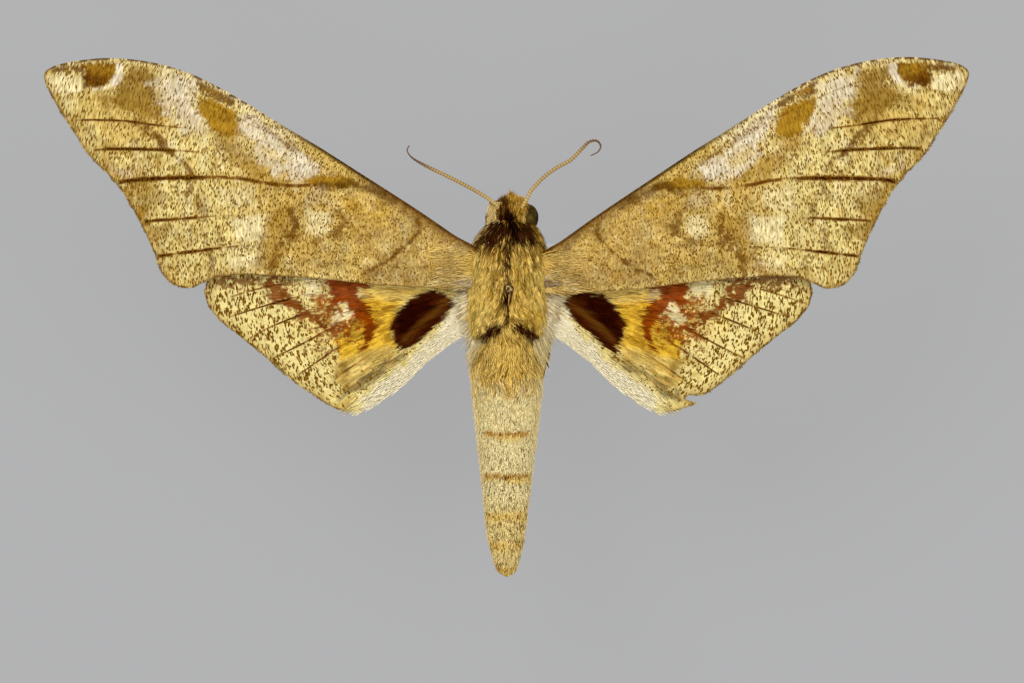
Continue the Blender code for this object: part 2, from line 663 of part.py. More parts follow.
def make_head(finish):
    """The head: a rounded capsule with tufts over brow and crown that lean forward, and eye sockets."""
    made = ball("head", head_place((0, 0, 0)), HEAD_RADII, HEAD_SIDES, HEAD_RINGS, finish)
    draw = random.Random(5)
    locks = []
    shares = (*LOCK_STATIONS, 1.0)
    heights = (-LOCK_SINK, 0.18, 0.3, 0.35)
    forward = Vector((0, 1, 0))
    for rise, count, spread, length in HEAD_ROWS:
        up = math.radians(rise)
        for k in range(count):
            turn = math.radians(-spread / 2 + k * spread / (count - 1) + draw.uniform(-3, 3))
            out = Vector((math.sin(turn) * math.cos(up), math.cos(turn) * math.cos(up), math.sin(up)))
            along = forward - out * out.dot(forward)
            lean = (forward * 0.5 + along * 0.7 + Vector((math.sin(turn) * 0.35, 0, 0))).normalized()
            root = Vector(o * r for o, r in zip(out, HEAD_RADII))
            size = length * draw.uniform(0.85, 1.1)
            path = [head_place(root + out * h + lean * size * s) for s, h in zip(shares, heights)]
            upward = (Vector((0, 0, 1)) + out * 0.3).normalized()
            normals = [upward] * len(path)
            locks.append(lock_shape("lock", path, normals, HEAD_LOCK_WIDTH, HEAD_LOCK_THICKNESS))
    apply_boolean(made, "UNION", locks)
    clear = [
        feeler("antenna_left", ANTENNA_LEFT, grow=GAP),
        feeler("antenna_right", ANTENNA_RIGHT, grow=GAP),
        make_proboscis(None, GAP),
    ]
    eye_room = [radius + GAP for radius in EYE_RADII]
    for side in ("left", "right"):
        clear.append(ball("socket", eye_place(side), eye_room, EYE_SIDES, EYE_RINGS))
        clear.append(make_palp(side, None, GAP))
    apply_boolean(made, "DIFFERENCE", clear)
    keep_largest(made)
    return made


def feeler(name, places, finish=None, grow=0.0):
    """A feeler: even for most of its length, slimmer in its hooked tip."""
    path = smoothed([Vector((x, y, BODY_HEIGHT + z)) for x, y, z in places], False, 1.0)
    radii = []
    for i in range(len(path)):
        slim = max(0.0, (i / (len(path) - 1) - ANTENNA_SLIMS_AT) / (1 - ANTENNA_SLIMS_AT))
        radii.append(ANTENNA_RADIUS * (1 - slim) + ANTENNA_TIP_RADIUS * slim)
    return swept(name, path, radii, 6, finish, grow)


def leg_joints(kind, side):
    """The joints of a leg, from the hip to the claw."""
    way = LEG_SPREAD[side] * (1 if side == "right" else -1)
    return [Vector((x * way, y, BODY_HEIGHT + z)) for x, y, z in LEGS[kind]]


def leg_thigh(name, side, grow=0.0, finish=None):
    """The first length of a leg, from the hip to a rounded knee."""
    hip, knee = leg_joints(name, side)[:2]
    along = (knee - hip).normalized()
    path = [hip, hip.lerp(knee, 0.4), knee, knee + along * 0.3, knee + along * 0.42]
    radii = [*THIGH_RADII, THIGH_RADII[-1] * 0.7, 0.0]
    return swept(f"{name}_{side}", path, radii, LEG_SIDES, finish, grow)


def leg_length(start, end, first, last):
    """One of the lengths past the knee, rounded at both ends."""
    along = (end - start).normalized()
    path = [start - along * first * 0.6, start, end, end + along * last * 0.6, end + along * last * 0.9]
    return swept("length", path, [first * 0.7, first, last, last * 0.7, 0.0], LEG_SIDES)


def make_leg(kind, side, finish):
    """One leg in one piece: thigh, shin and two lengths of foot, with spurs on the shin's end."""
    _, knee, ankle, foot, claw = leg_joints(kind, side)
    made = leg_thigh(kind, side, finish=finish)
    lengths = [
        leg_length(knee, ankle, *SHIN_RADII),
        leg_length(ankle, foot, SHIN_RADII[-1] * 0.95, FOOT_RADII[0]),
        leg_length(foot, claw, *FOOT_RADII),
    ]
    if kind != "leg_fore":
        shin = (ankle - knee).normalized()
        for lean in (-0.45, 0.45):
            away = (shin + Vector((lean, 0, -0.35))).normalized()
            line = [ankle - shin * 0.3, ankle + away * SPUR_LENGTH * 0.5, ankle + away * SPUR_LENGTH]
            lengths.append(swept("spur", line, (0.2, 0.14, 0.0), 5))
    apply_boolean(made, "UNION", lengths)
    keep_largest(made)
    return made


def make_palp(side, finish, grow=0.0):
    """A palp: a short, blunt, upturned feeler beside the mouth."""
    way = 1 if side == "right" else -1
    places = [head_place((x * way, y, z)) for x, y, z in PALP]
    return swept(f"palp_{side}", places, PALP_RADII, 8, finish, grow)


def make_proboscis(finish, grow=0.0):
    """The tongue: a flat coil under the head, between the palps. Its room is that of its outer turn."""
    x = HEAD_MIDDLE[0]
    path = [Vector((x, TONGUE_ROOT[0], BODY_HEIGHT + TONGUE_ROOT[1]))]
    for i in range(TONGUE_STEPS):
        share = i / (TONGUE_STEPS - 1)
        turn = math.radians(105) - share * TONGUE_TURNS * 2 * math.pi
        reach = TONGUE_RADII[0] + (TONGUE_RADII[1] - TONGUE_RADII[0]) * share
        y = TONGUE_MIDDLE[0] + math.cos(turn) * reach
        z = TONGUE_MIDDLE[1] + math.sin(turn) * reach
        path.append(Vector((x, y, BODY_HEIGHT + z)))
        if grow and share * TONGUE_TURNS > 0.75:
            break
    thick, thin = TONGUE_THICKNESS
    radii = [thick + (thin - thick) * i / TONGUE_STEPS for i in range(len(path))]
    return swept("proboscis", path, radii, 6, finish, grow)


def make_block(finish):
    """The block that holds the pin, with eased edges."""
    work = bmesh.new()
    bmesh.ops.create_cube(work, size=MM)
    bmesh.ops.scale(work, vec=BLOCK_SIZE, verts=work.verts)
    bmesh.ops.translate(work, vec=Vector((0, BLOCK_MIDDLE_Y, BLOCK_SIZE[2] / 2)) * MM, verts=work.verts)
    bmesh.ops.bevel(work, geom=work.edges, offset=BLOCK_BEVEL * MM, segments=2, affect="EDGES")
    mesh = bpy.data.meshes.new("stand_base")
    work.to_mesh(mesh)
    work.free()
    made = bpy.data.objects.new("stand_base", mesh)
    bpy.context.scene.collection.objects.link(made)
    mesh.materials.append(finish)
    return made


def make_pin(finish):
    """The pin, in the lengths that show: under the thorax, and over it with the round head."""
    thorax_under = body_point(THORAX_PROFILE, 0, -math.pi / 2, 0).z
    thorax_top = body_point(THORAX_PROFILE, 0, math.pi / 2, 0).z
    low, high = BLOCK_SIZE[2] + GAP, thorax_under - GAP
    shaft = [Vector((0, 0, z)) for z in (low, (low + high) / 2, high - 0.02, high)]
    swept("stand_pin", shaft, [PIN_RADIUS] * 4, 12, finish)
    start = thorax_top + GAP
    neck = PIN_TOP - 2 * PIN_HEAD_RADIUS
    path, radii = [Vector((0, 0, start)), Vector((0, 0, neck))], [PIN_RADIUS, PIN_RADIUS]
    for step in range(1, 5):
        angle = math.pi * (step + 0.6) / 5.6
        path.append(Vector((0, 0, PIN_TOP - PIN_HEAD_RADIUS * (1 + math.cos(angle)))))
        radii.append(PIN_HEAD_RADIUS * math.sin(angle))
    path.append(Vector((0, 0, PIN_TOP)))
    radii.append(0.0)
    swept("stand_pin_head", path, radii, 12, finish)


def main():
    """Builds the whole specimen."""
    for old in list(bpy.data.objects):
        bpy.data.objects.remove(old)
    gold = material("thorax_fur", (0.62, 0.44, 0.16), 0.85)
    cream = material("abdomen_scales", (0.72, 0.6, 0.36), 0.85)
    brown = material("head_fur", (0.42, 0.27, 0.12), 0.85)
    fore = material("forewing_scales", (0.66, 0.51, 0.23), 0.7)
    hind = material("hindwing_scales", (0.72, 0.52, 0.22), 0.7)
    eye = material("eye", (0.1, 0.085, 0.04), 0.25)
    horn = material("feeler", (0.45, 0.28, 0.16), 0.6)
    leg = material("leg_scales", (0.5, 0.36, 0.2), 0.8)
    steel = material("pin_steel", (0.3, 0.29, 0.28), 0.3, 1.0)
    block = material("block", (0.75, 0.75, 0.74), 0.9)

    make_block(block)
    make_pin(steel)
    nodes = [make_thorax(gold), make_abdomen(cream), make_head(brown)]
    for side in ("left", "right"):
        hindwing = list(HINDWING_OUTLINE)
        if side == "right":
            cut, back = hindwing.index(TORN_AFTER), hindwing.index(TORN_BEFORE)
            hindwing[cut + 1 : back] = TORN_EDGE
        nodes.append(make_wing(f"forewing_{side}", FOREWING_OUTLINE, FOREWING_VEINS, 0.0, side, True, fore))
        nodes.append(
            make_wing(f"hindwing_{side}", hindwing, HINDWING_VEINS, HINDWING_DROP, side, False, hind)
        )
        nodes.append(ball(f"eye_{side}", eye_place(side), EYE_RADII, EYE_SIDES, EYE_RINGS, eye))
        nodes.append(make_palp(side, brown))
        for kind in LEGS:
            nodes.append(make_leg(kind, side, leg))
    nodes.append(feeler("antenna_left", ANTENNA_LEFT, horn))
    nodes.append(feeler("antenna_right", ANTENNA_RIGHT, horn))
    nodes.append(make_proboscis(horn))
    for node in nodes:
        shade(node)


main()
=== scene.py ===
"""The looks of a spread hawkmoth, Platysphinx constrigilis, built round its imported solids.

Lengths are in millimetres until a mesh is made. +X is the moth's right, +Y its head end, +Z its back.
"""

import logging
import math
from dataclasses import dataclass, field
from enum import Enum
from typing import ClassVar, Optional, Sequence

import bmesh
import bpy
import numpy as np
from mathutils import Matrix, Vector
from mathutils.geometry import delaunay_2d_cdt


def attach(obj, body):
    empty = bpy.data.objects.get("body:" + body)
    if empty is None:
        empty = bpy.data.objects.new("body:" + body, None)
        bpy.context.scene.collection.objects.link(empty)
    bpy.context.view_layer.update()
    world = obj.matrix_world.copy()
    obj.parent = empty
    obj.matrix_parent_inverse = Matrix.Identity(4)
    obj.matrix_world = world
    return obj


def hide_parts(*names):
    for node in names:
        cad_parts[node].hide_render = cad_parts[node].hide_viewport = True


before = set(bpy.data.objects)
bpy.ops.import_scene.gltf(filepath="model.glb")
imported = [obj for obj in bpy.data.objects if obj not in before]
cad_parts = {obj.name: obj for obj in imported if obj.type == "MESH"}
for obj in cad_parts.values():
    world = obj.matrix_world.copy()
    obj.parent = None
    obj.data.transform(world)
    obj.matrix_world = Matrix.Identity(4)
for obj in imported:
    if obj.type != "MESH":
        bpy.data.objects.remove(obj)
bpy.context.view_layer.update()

log = logging.getLogger("moth")
log.setLevel(logging.INFO)
Array = np.ndarray
Line = Sequence[tuple[float, float]]
Material = bpy.types.Material
Thing = bpy.types.Object
Triple = tuple[float, float, float]

MM = 0.001
BODY_HEIGHT = 26.0
ROOT_X = 5.0
HAIR_ROOT = (1.5, 0.5)  # where the lines of the wings' hair meet
BAKE_MAP = "OFBake"


class Tone(Enum):
    """The specimen's colours, as red, green and blue out of 255."""

    LEMON = (250, 232, 156)
    CREAM = (250, 236, 184)
    STRAW = (226, 196, 112)
    TAN = (214, 182, 106)
    OCHRE = (176, 134, 40)
    OLIVE = (152, 116, 34)
    WHITE = (240, 228, 202)
    ROSY_GREY = (214, 192, 148)
    MAUVE = (164, 134, 84)
    FLECK = (82, 50, 2)
    FLECK_PALE = (120, 84, 14)
    BROWN = (116, 74, 20)
    DARK_BROWN = (78, 42, 8)
    BLACK_BROWN = (42, 26, 12)
    RUST = (144, 60, 2)
    RUST_BROWN = (128, 68, 16)
    GOLD = (236, 190, 52)
    PALE_GOLD = (252, 220, 124)
    MAROON = (64, 22, 4)
    MAROON_BLACK = (40, 8, 2)
    FUR_WHITE = (255, 244, 210)
    THORAX_GOLD = (234, 192, 84)
    THORAX_YELLOW = (254, 222, 116)
    THORAX_PALE = (255, 230, 138)
    THORAX_OLIVE = (164, 126, 40)
    HEAD_GOLD = (204, 162, 70)
    HEAD_BROWN = (112, 76, 26)
    HEAD_PALE = (242, 222, 160)
    COLLAR = (60, 22, 14)
    COLLAR_BLACK = (16, 6, 8)
    BELLY_GOLD = (246, 212, 118)
    BELLY_CREAM = (255, 242, 190)
    BAND_ORANGE = (160, 104, 10)
    BAND_GOLD = (206, 166, 80)
    SPECK = (124, 88, 18)
    UNDER_OCHRE = (206, 158, 78)
    UNDER_BROWN = (160, 116, 62)

    def linear(self) -> Array:
        """The colour as linear light."""
        share = np.array(self.value, float) / 255
        return np.where(share <= 0.04045, share / 12.92, ((share + 0.055) / 1.055) ** 2.4)

    def rgba(self) -> tuple[float, float, float, float]:
        """The colour as a socket takes it."""
        red, green, blue = self.linear()
        return float(red), float(green), float(blue), 1.0


class Side(Enum):
    """A side of the moth, as the sign of its X."""

    LEFT = -1
    RIGHT = 1

    @property
    def word(self) -> str:
        """The side's name in lower case."""
        return self.name.lower()


# Shader maths


class Signal:
    """A node's output, so that shader maths reads as Python expressions."""

    def __init__(self, sheet: "Sheet", socket: bpy.types.NodeSocket) -> None:
        """Keeps the sheet that the socket belongs to.

        Args:
            sheet: The material's node sheet.
            socket: The output socket.
        """
        self.sheet = sheet
        self.socket = socket

    def maths(self, operation: str, *values: "Signal | float") -> "Signal":
        """One Math node on the given values.

        Args:
            operation: The node's operation.
            values: Its inputs in order.

        Returns:
            The node's result.
        """
        return self.sheet.node("ShaderNodeMath", {"operation": operation}, dict(enumerate(values)))

    def __add__(self, other: "Signal | float") -> "Signal":
        """Sum."""
        return self.maths("ADD", self, other)

    def __radd__(self, other: float) -> "Signal":
        """Sum, reflected."""
        return self.maths("ADD", other, self)

    def __sub__(self, other: "Signal | float") -> "Signal":
        """Difference."""
        return self.maths("SUBTRACT", self, other)

    def __rsub__(self, other: float) -> "Signal":
        """Difference, reflected."""
        return self.maths("SUBTRACT", other, self)

    def __mul__(self, other: "Signal | float") -> "Signal":
        """Product."""
        return self.maths("MULTIPLY", self, other)

    def __rmul__(self, other: float) -> "Signal":
        """Product, reflected."""
        return self.maths("MULTIPLY", other, self)

    def clipped(self) -> "Signal":
        """The value held between 0 and 1."""
        return self.maths("MINIMUM", self.maths("MAXIMUM", self, 0.0), 1.0)

    def rise(self, low: float, high: float) -> "Signal":
        """A smooth step from 0 at low to 1 at high."""
        settings = {"interpolation_type": "SMOOTHSTEP"}
        return self.sheet.node("ShaderNodeMapRange", settings, {0: self, 1: low, 2: high})

    def output(self, name: str) -> "Signal":
        """Another output of the same node."""
        return Signal(self.sheet, self.socket.node.outputs[name])


class Sheet:
    """A material's nodes."""

    def __init__(self, name: str) -> None:
        """Makes the material.

        Args:
            name: The material's name.
        """
        self.material = bpy.data.materials.new(name)
        self.material.use_nodes = True
        self.tree = self.material.node_tree
        self.shader = self.tree.nodes["Principled BSDF"]

    def node(
        self, kind: str, settings: Optional[dict] = None, inputs: Optional[dict] = None, output: int = 0
    ) -> Signal:
        """Adds a node.

        Args:
            kind: The node's type.
            settings: Its own settings, set first; stops fills a colour ramp.
            inputs: Values or signals for its sockets, by name or number.
            output: Which output to give back.

        Returns:
            The chosen output.
        """
        made = self.tree.nodes.new(kind)
        for key, value in (settings or {}).items():
            if key == "stops":
                for place, (position, colour) in enumerate(value):
                    stops = made.color_ramp.elements
                    stop = stops[place] if place < len(stops) else stops.new(position)
                    stop.position, stop.color = position, colour
            else:
                setattr(made, key, value)
        for key, value in (inputs or {}).items():
            self.feed(made.inputs[key], value)
        return Signal(self, made.outputs[output])

    def feed(self, socket: bpy.types.NodeSocket, value: "Signal | float | Sequence[float]") -> None:
        """Links a signal to a socket, or sets the socket's own value.

        Args:
            socket: The input.
            value: What goes into it.
        """
        if isinstance(value, Signal):
            self.tree.links.new(value.socket, socket)
        else:
            socket.default_value = value

    def set(self, **values: "Signal | float | Sequence[float]") -> None:
        """Feeds the shader's sockets, named with _ for a space."""
        for key, value in values.items():
            self.feed(self.shader.inputs[key.replace("_", " ")], value)

    def attribute(self, name: str, output: int = 0) -> Signal:
        """A value stored on the mesh: output 0 is its colour, 1 its vector and 2 its number."""
        return self.node("ShaderNodeAttribute", {"attribute_name": name}, output=output)

    def scaled(self, vector: Signal, factors: Sequence[float]) -> Signal:
        """A vector multiplied by three factors."""
        return self.node("ShaderNodeVectorMath", {"operation": "MULTIPLY"}, {0: vector, 1: factors})

    def lit(self, colour: Signal, light: Signal) -> Signal:
        """A colour made lighter or darker."""
        return self.node("ShaderNodeVectorMath", {"operation": "SCALE"}, {0: colour, "Scale": light})

    def mixed(self, factor: "Signal | float", first: object, second: object, blend: str = "MIX") -> Signal:
        """A colour between two, by a factor.

        Args:
            factor: 0 for the first colour and 1 for the second.
            first: A signal or a colour.
            second: A signal or a colour.
            blend: The way to blend.

        Returns:
            The mixed colour.
        """
        settings = {"data_type": "RGBA", "blend_type": blend}
        return self.node("ShaderNodeMix", settings, {0: factor, 6: first, 7: second}, 2)

    def noise(self, vector: Signal, scale: float, detail: float = 2.0, roughness: float = 0.5) -> Signal:
        """Smooth noise between 0 and 1."""
        values = {"Vector": vector, "Scale": scale, "Detail": detail, "Roughness": roughness}
        return self.node("ShaderNodeTexNoise", None, values)

    def bump(self, height: Signal, distance_mm: float, strength: float = 1.0) -> None:
        """Feeds the shader's normal from a height."""
        values = {"Height": height, "Distance": distance_mm * MM, "Strength": strength}
        self.set(Normal=self.node("ShaderNodeBump", None, values))

    def millimetres(self) -> Signal:
        """The place on the object in millimetres."""
        place = self.node("ShaderNodeTexCoord", output=3)
        return self.scaled(place, (1 / MM, 1 / MM, 1 / MM))


# Finishes


@dataclass(frozen=True)
class WingFinish:
    """Scaled membrane: a painted ground laid with small scales in rows, some of them dark."""

    name: str
    scale: tuple[float, float]  # a scale's size out from the root and round it
    spot: float  # how far a dark scale's mark reaches in its cell
    clump: float  # how far dark scales keep together
    clump_size: float
    loose: float = 1.0  # how far they are scattered singly
    grain: float = 0.7  # how far the scales' own tints differ
    streak: tuple[float, float] = (0.7, 9.0)  # the ground's streaks to a mm, out from the root and round it
    veil: float = 0.0  # how far dull streaks turn the ground olive

    def make(self) -> Material:
        """Builds the material.

        Returns:
            The material.
        """
        sheet = Sheet(self.name)
        place = sheet.attribute("plan", 1)
        amount = sheet.attribute("fleck", 2)
        out, round_ = self.scale
        cells = sheet.node(
            "ShaderNodeTexVoronoi", {"voronoi_dimensions": "2D"},
            {"Vector": sheet.scaled(place, (1 / out, 1 / round_, 1.0)), "Scale": 1.0},
        )
        pick = sheet.node("ShaderNodeSeparateColor", None, {0: cells.output("Color")})
        spread = (out / self.clump_size, round_ / self.clump_size, 1.0)
        clump = sheet.noise(sheet.scaled(cells.output("Position"), spread), 1.0, 1.0)
        fine = sheet.noise(sheet.scaled(place, (9.0, 5.0, 1.0)), 1.0, 1.0)
        score = 0.5 + (pick - 0.5) * self.loose + (clump - 0.5) * self.clump
        within = ((self.spot - cells - (fine - 0.5) * 0.4) * 7.0).clipped()
        dark_ones = ((amount * 0.62 - score) * 9.0).clipped() * (amount * 8.0).clipped()
        pale_ones = ((amount * -0.7 - score) * 5.0).clipped() * (amount * -8.0).clipped()
        hair = sheet.noise(sheet.scaled(place, (*self.streak, 1.0)), 1.0, 3.0, 0.65)
        bare = 1.0 - amount.maths("ABSOLUTE", amount).clipped()
        mottle = sheet.noise(place, 0.7, 3.0, 0.6)
        light = 1.0 + (hair - 0.5) * (0.5 + bare * 2.0) + (mottle - 0.5) * 0.7
        grained = sheet.lit(sheet.attribute("paint"), light)
        tint = pick.output("Green").rise(0.45, 1.0) * (1.0 - bare * 0.6) * self.grain
        tint = (tint + (0.56 - hair) * self.veil).clipped()
        tinted = sheet.mixed(tint, grained, (0.7, 0.56, 0.3, 1.0), "MULTIPLY")
        dark = sheet.mixed(pick.output("Blue"), Tone.FLECK.rgba(), Tone.FLECK_PALE.rgba())
        shown = sheet.mixed(dark_ones * within, tinted, dark)
        shown = sheet.mixed(pale_ones * within * 0.6, shown, Tone.PALE_GOLD.rgba())
        sheet.set(Base_Color=shown, Roughness=0.7 + hair * 0.2, Specular_IOR_Level=0.0)
        sheet.bump(hair + cells * 0.25, 0.03, 0.5)
        return sheet.material


@dataclass(frozen=True)
class CoatFinish:
    """Scales, hair or bare horn: the colour that the mesh carries, with a fine grain."""

    name: str
    roughness: float = 0.7
    sheen: float = 0.0
    gloss: float = 0.0
    grains: float = 9.0  # to a mm
    detail: float = 2.0
    contrast: float = 0.4
    relief: tuple[float, float] = (0.03, 0.5)  # depth in mm, and strength

    def make(self) -> Material:
        """Builds the material.

        Returns:
            The material.
        """
        sheet = Sheet(self.name)
        grain = sheet.noise(sheet.millimetres(), self.grains, self.detail, 0.6)
        shown = sheet.lit(sheet.attribute("paint"), 1 - self.contrast / 2 + grain * self.contrast)
        sheet.set(Base_Color=shown, Roughness=self.roughness - 0.1 + grain * 0.2)
        sheet.set(Specular_IOR_Level=self.gloss, Sheen_Weight=self.sheen, Sheen_Roughness=0.35)
        sheet.bump(grain, *self.relief)
        return sheet.material


@dataclass(frozen=True)
class EyeFinish:
    """A dried compound eye: olive brown and glossy, with small facets, its rear and sides darkened by painted
    shade.
    """

    name: str = "eye_gloss"
    facet: float = 0.11

    def make(self) -> Material:
        """Builds the material.

        Returns:
            The material.
        """
        sheet = Sheet(self.name)
        place = sheet.millimetres()
        facets = sheet.node("ShaderNodeTexVoronoi", None, {"Vector": place, "Scale": 1 / self.facet})
        cloud = sheet.noise(place, 0.9, 2.0)
        ground = sheet.mixed(cloud.rise(0.35, 0.7), (0.022, 0.012, 0.001, 1.0), (0.085, 0.055, 0.006, 1.0))
        # Painted shade: near black where the eye meets the head and on its sides.
        shade = sheet.attribute("shade", 2)
        shown = sheet.mixed(shade, ground, (0.012, 0.008, 0.006, 1.0))
        sheet.set(Base_Color=shown, Roughness=0.4 + cloud * 0.15)
        sheet.set(Specular_IOR_Level=0.0, Coat_Weight=0.12, Coat_Roughness=0.12)
        sheet.bump(facets, 0.02, 0.5)
        return sheet.material


@dataclass(frozen=True)
class SteelFinish:
    """Black enamelled steel of the pin, with a painted glint: paler golden patches on the top of its head."""

    name: str = "pin_enamel"

    def make(self) -> Material:
        """Builds the material.

        Returns:
            The material.
        """
        sheet = Sheet(self.name)
        place = sheet.millimetres()
        # Painted glint: the top of the head takes paler, golden, slightly metallic patches in place of a
        # highlight.
        high = sheet.node("ShaderNodeSeparateXYZ", None, {0: place}, 2).rise(40.5, 40.9)
        painted_glint = sheet.noise(place, 2.8, 3.0, 0.65).rise(0.5, 0.6) * high
        shown = sheet.mixed(painted_glint, (0.05, 0.024, 0.005, 1.0), (0.44, 0.31, 0.13, 1.0))
        sheet.set(Base_Color=shown, Roughness=0.3 + painted_glint * 0.15, Metallic=painted_glint * 0.3)
        sheet.set(Specular_IOR_Level=0.0, Coat_Weight=0.06, Coat_Roughness=0.08)
        sheet.bump(sheet.noise(place, 9.0, 2.0), 0.01, 0.4)
        return sheet.material


@dataclass(frozen=True)
class FoamFinish:
    """Pale closed-cell foam of the block, made to glow as painted light, with its pores darkened as painted
    shade.
    """

    name: str = "block_foam"
    # Painted light: the foam glows so that its shade under the moth matches the floor.
    glow: float = 0.26  # as bright as the floor, so that it doesn't show between the wings

    def make(self) -> Material:
        """Builds the material.

        Returns:
            The material.
        """
        sheet = Sheet(self.name)
        place = sheet.millimetres()
        cells = sheet.node("ShaderNodeTexVoronoi", None, {"Vector": place, "Scale": 2.6})
        cloud = sheet.noise(place, 0.25, 3.0)
        shown = sheet.mixed(cloud, (0.24, 0.24, 0.245, 1.0), (0.28, 0.28, 0.285, 1.0))
        # Painted shade: the foam's pores are darker at their middles.
        pitted = sheet.mixed(cells.rise(0.0, 0.35), (0.18, 0.18, 0.185, 1.0), shown)
        sheet.set(Base_Color=pitted, Roughness=0.85 + cloud * 0.1)
        sheet.set(Emission_Color=(1.0, 1.005, 1.02, 1.0), Emission_Strength=self.glow)
        sheet.bump(cells, 0.12, 0.6)
        return sheet.material


@dataclass(frozen=True)
class FloorFinish:
    """The plain pale floor."""

    name: str = "floor_pale"
    shade: float = 0.075
    glow: float = 0.35  # keeps the specimen's shadow faint

    def make(self) -> Material:
        """Builds the material.

        Returns:
            The material.
        """
        sheet = Sheet(self.name)
        cloud = sheet.noise(sheet.millimetres(), 0.03, 2.0)
        low, high = self.shade * 0.995, self.shade * 1.005
        shown = sheet.mixed(cloud, (low, low * 1.02, low * 1.08, 1.0), (high, high * 1.02, high * 1.08, 1.0))
        sheet.set(Base_Color=shown, Roughness=0.95, Specular_IOR_Level=0.0)
        sheet.set(Emission_Color=(1.0, 1.005, 1.02, 1.0), Emission_Strength=self.glow)
        return sheet.material


# Geometry, on arrays of places


def unit(vectors: Array) -> Array:
    """Directions, one long each."""
    return vectors / (np.linalg.norm(vectors, axis=-1, keepdims=True) + 1e-12)


def blend(first: Array, second: Array, share: Array) -> Array:
    """Values from the first at a share of 0 to the second at 1."""
    return first * (1 - share) + second * share


def curve_through(points: Line, closed: bool, step: float) -> Array:
    """Places along a Catmull-Rom curve.

    Args:
        points: The places that it goes through, in two or three dimensions.
        closed: Whether it joins its end to its start.
        step: The most that neighbours may be apart.

    Returns:
        The places, one row each.
    """
    given = np.array(points, float)
    count = len(given)
    found = []
    for i in range(count if closed else count - 1):
        if closed:
            a, b, c, d = (given[(i + k) % count] for k in (-1, 0, 1, 2))
        else:
            a, b, c, d = (given[min(max(i + k, 0), count - 1)] for k in (-1, 0, 1, 2))
        spans = max(1, math.ceil(np.linalg.norm(c - b) / step))
        for k in range(spans):
            t = k / spans
            square = 2 * a - 5 * b + 4 * c - d
            cube = 3 * b - a - 3 * c + d
            found.append((2 * b + (c - a) * t + square * t**2 + cube * t**3) / 2)
    if not closed:
        found.append(given[-1])
    return np.array(found)


def distance_to(x: Array, y: Array, line: Line, closed: bool = False) -> Array:
    """Distance from each place to a polyline.

    Args:
        x: Places' x.
        y: Places' y.
        line: The line's points.
        closed: Whether it ends where it starts.

    Returns:
        One distance for each place.
    """
    points = np.array(line, float)
    if closed:
        points = np.vstack([points, points[:1]])
    best = np.full(len(x), 1e9)
    for (ax, ay), (bx, by) in zip(points, points[1:]):
        run_x, run_y = bx - ax, by - ay
        along = ((x - ax) * run_x + (y - ay) * run_y) / max(run_x**2 + run_y**2, 1e-12)
        along = np.clip(along, 0, 1)
        best = np.minimum(best, np.hypot(x - ax - run_x * along, y - ay - run_y * along))
    return best


def inside(x: Array, y: Array, outline: Line) -> Array:
    """Whether each place lies inside a closed outline.

    Args:
        x: Places' x.
        y: Places' y.
        outline: The outline's points.

    Returns:
        True for each place inside it.
    """
    points = np.array(outline, float)
    found = np.zeros(len(x), bool)
    for (ax, ay), (bx, by) in zip(points, np.roll(points, -1, axis=0)):
        if ay != by:
            crosses = (ay > y) != (by > y)
            found ^= crosses & (x < ax + (y - ay) / (by - ay) * (bx - ax))
    return found


def smooth_step(value: Array, low: float, high: float) -> Array:
    """A smooth step from 0 at low to 1 at high."""
    share = np.clip((value - low) / (high - low), 0, 1)
    return share * share * (3 - 2 * share)


@dataclass(frozen=True)
class Cloud:
    """Smooth random values over a plane, the same on each run."""

    seed: int
    cells: int = 128

    def at(self, x: Array, y: Array, size: float, octaves: int = 2) -> Array:
        """Values from about -1 to 1.

        Args:
            x: Places' x.
            y: Places' y.
            size: Size of the largest blots.
            octaves: How many finer layers are added.

        Returns:
            One value for each place.
        """
        table = np.random.default_rng(self.seed).uniform(-1, 1, (self.cells, self.cells))
        total = np.zeros(len(x))
        for octave in range(octaves):
            u = x / size * 2**octave + 31.7 * (octave + 1)
            v = y / size * 2**octave + 57.3 * (octave + 1)
            i, j = np.floor(u).astype(int), np.floor(v).astype(int)
            s, t = u - i, v - j
            s, t = s * s * (3 - 2 * s), t * t * (3 - 2 * t)
            i0, i1 = i % self.cells, (i + 1) % self.cells
            j0, j1 = j % self.cells, (j + 1) % self.cells
            low = blend(table[i0, j0], table[i1, j0], s)
            high = blend(table[i0, j1], table[i1, j1], s)
            total += blend(low, high, t) * 0.6**octave
        return total


@dataclass(frozen=True)
class Mark:
    """One marking: a filled patch, or a stroke where it has a width."""

    tone: Optional[Tone]
    points: Line
    width: float = 0.0
    soft: float = 0.8
    strength: float = 0.9
    ragged: float = 0.3  # how far its edge strays
    fleck: Optional[float] = None  # how much of it is flecked
    grain: float = 1.2  # size of the straying
    hairy: bool = False  # whether its edge strays along hair that fans out from the wing's root


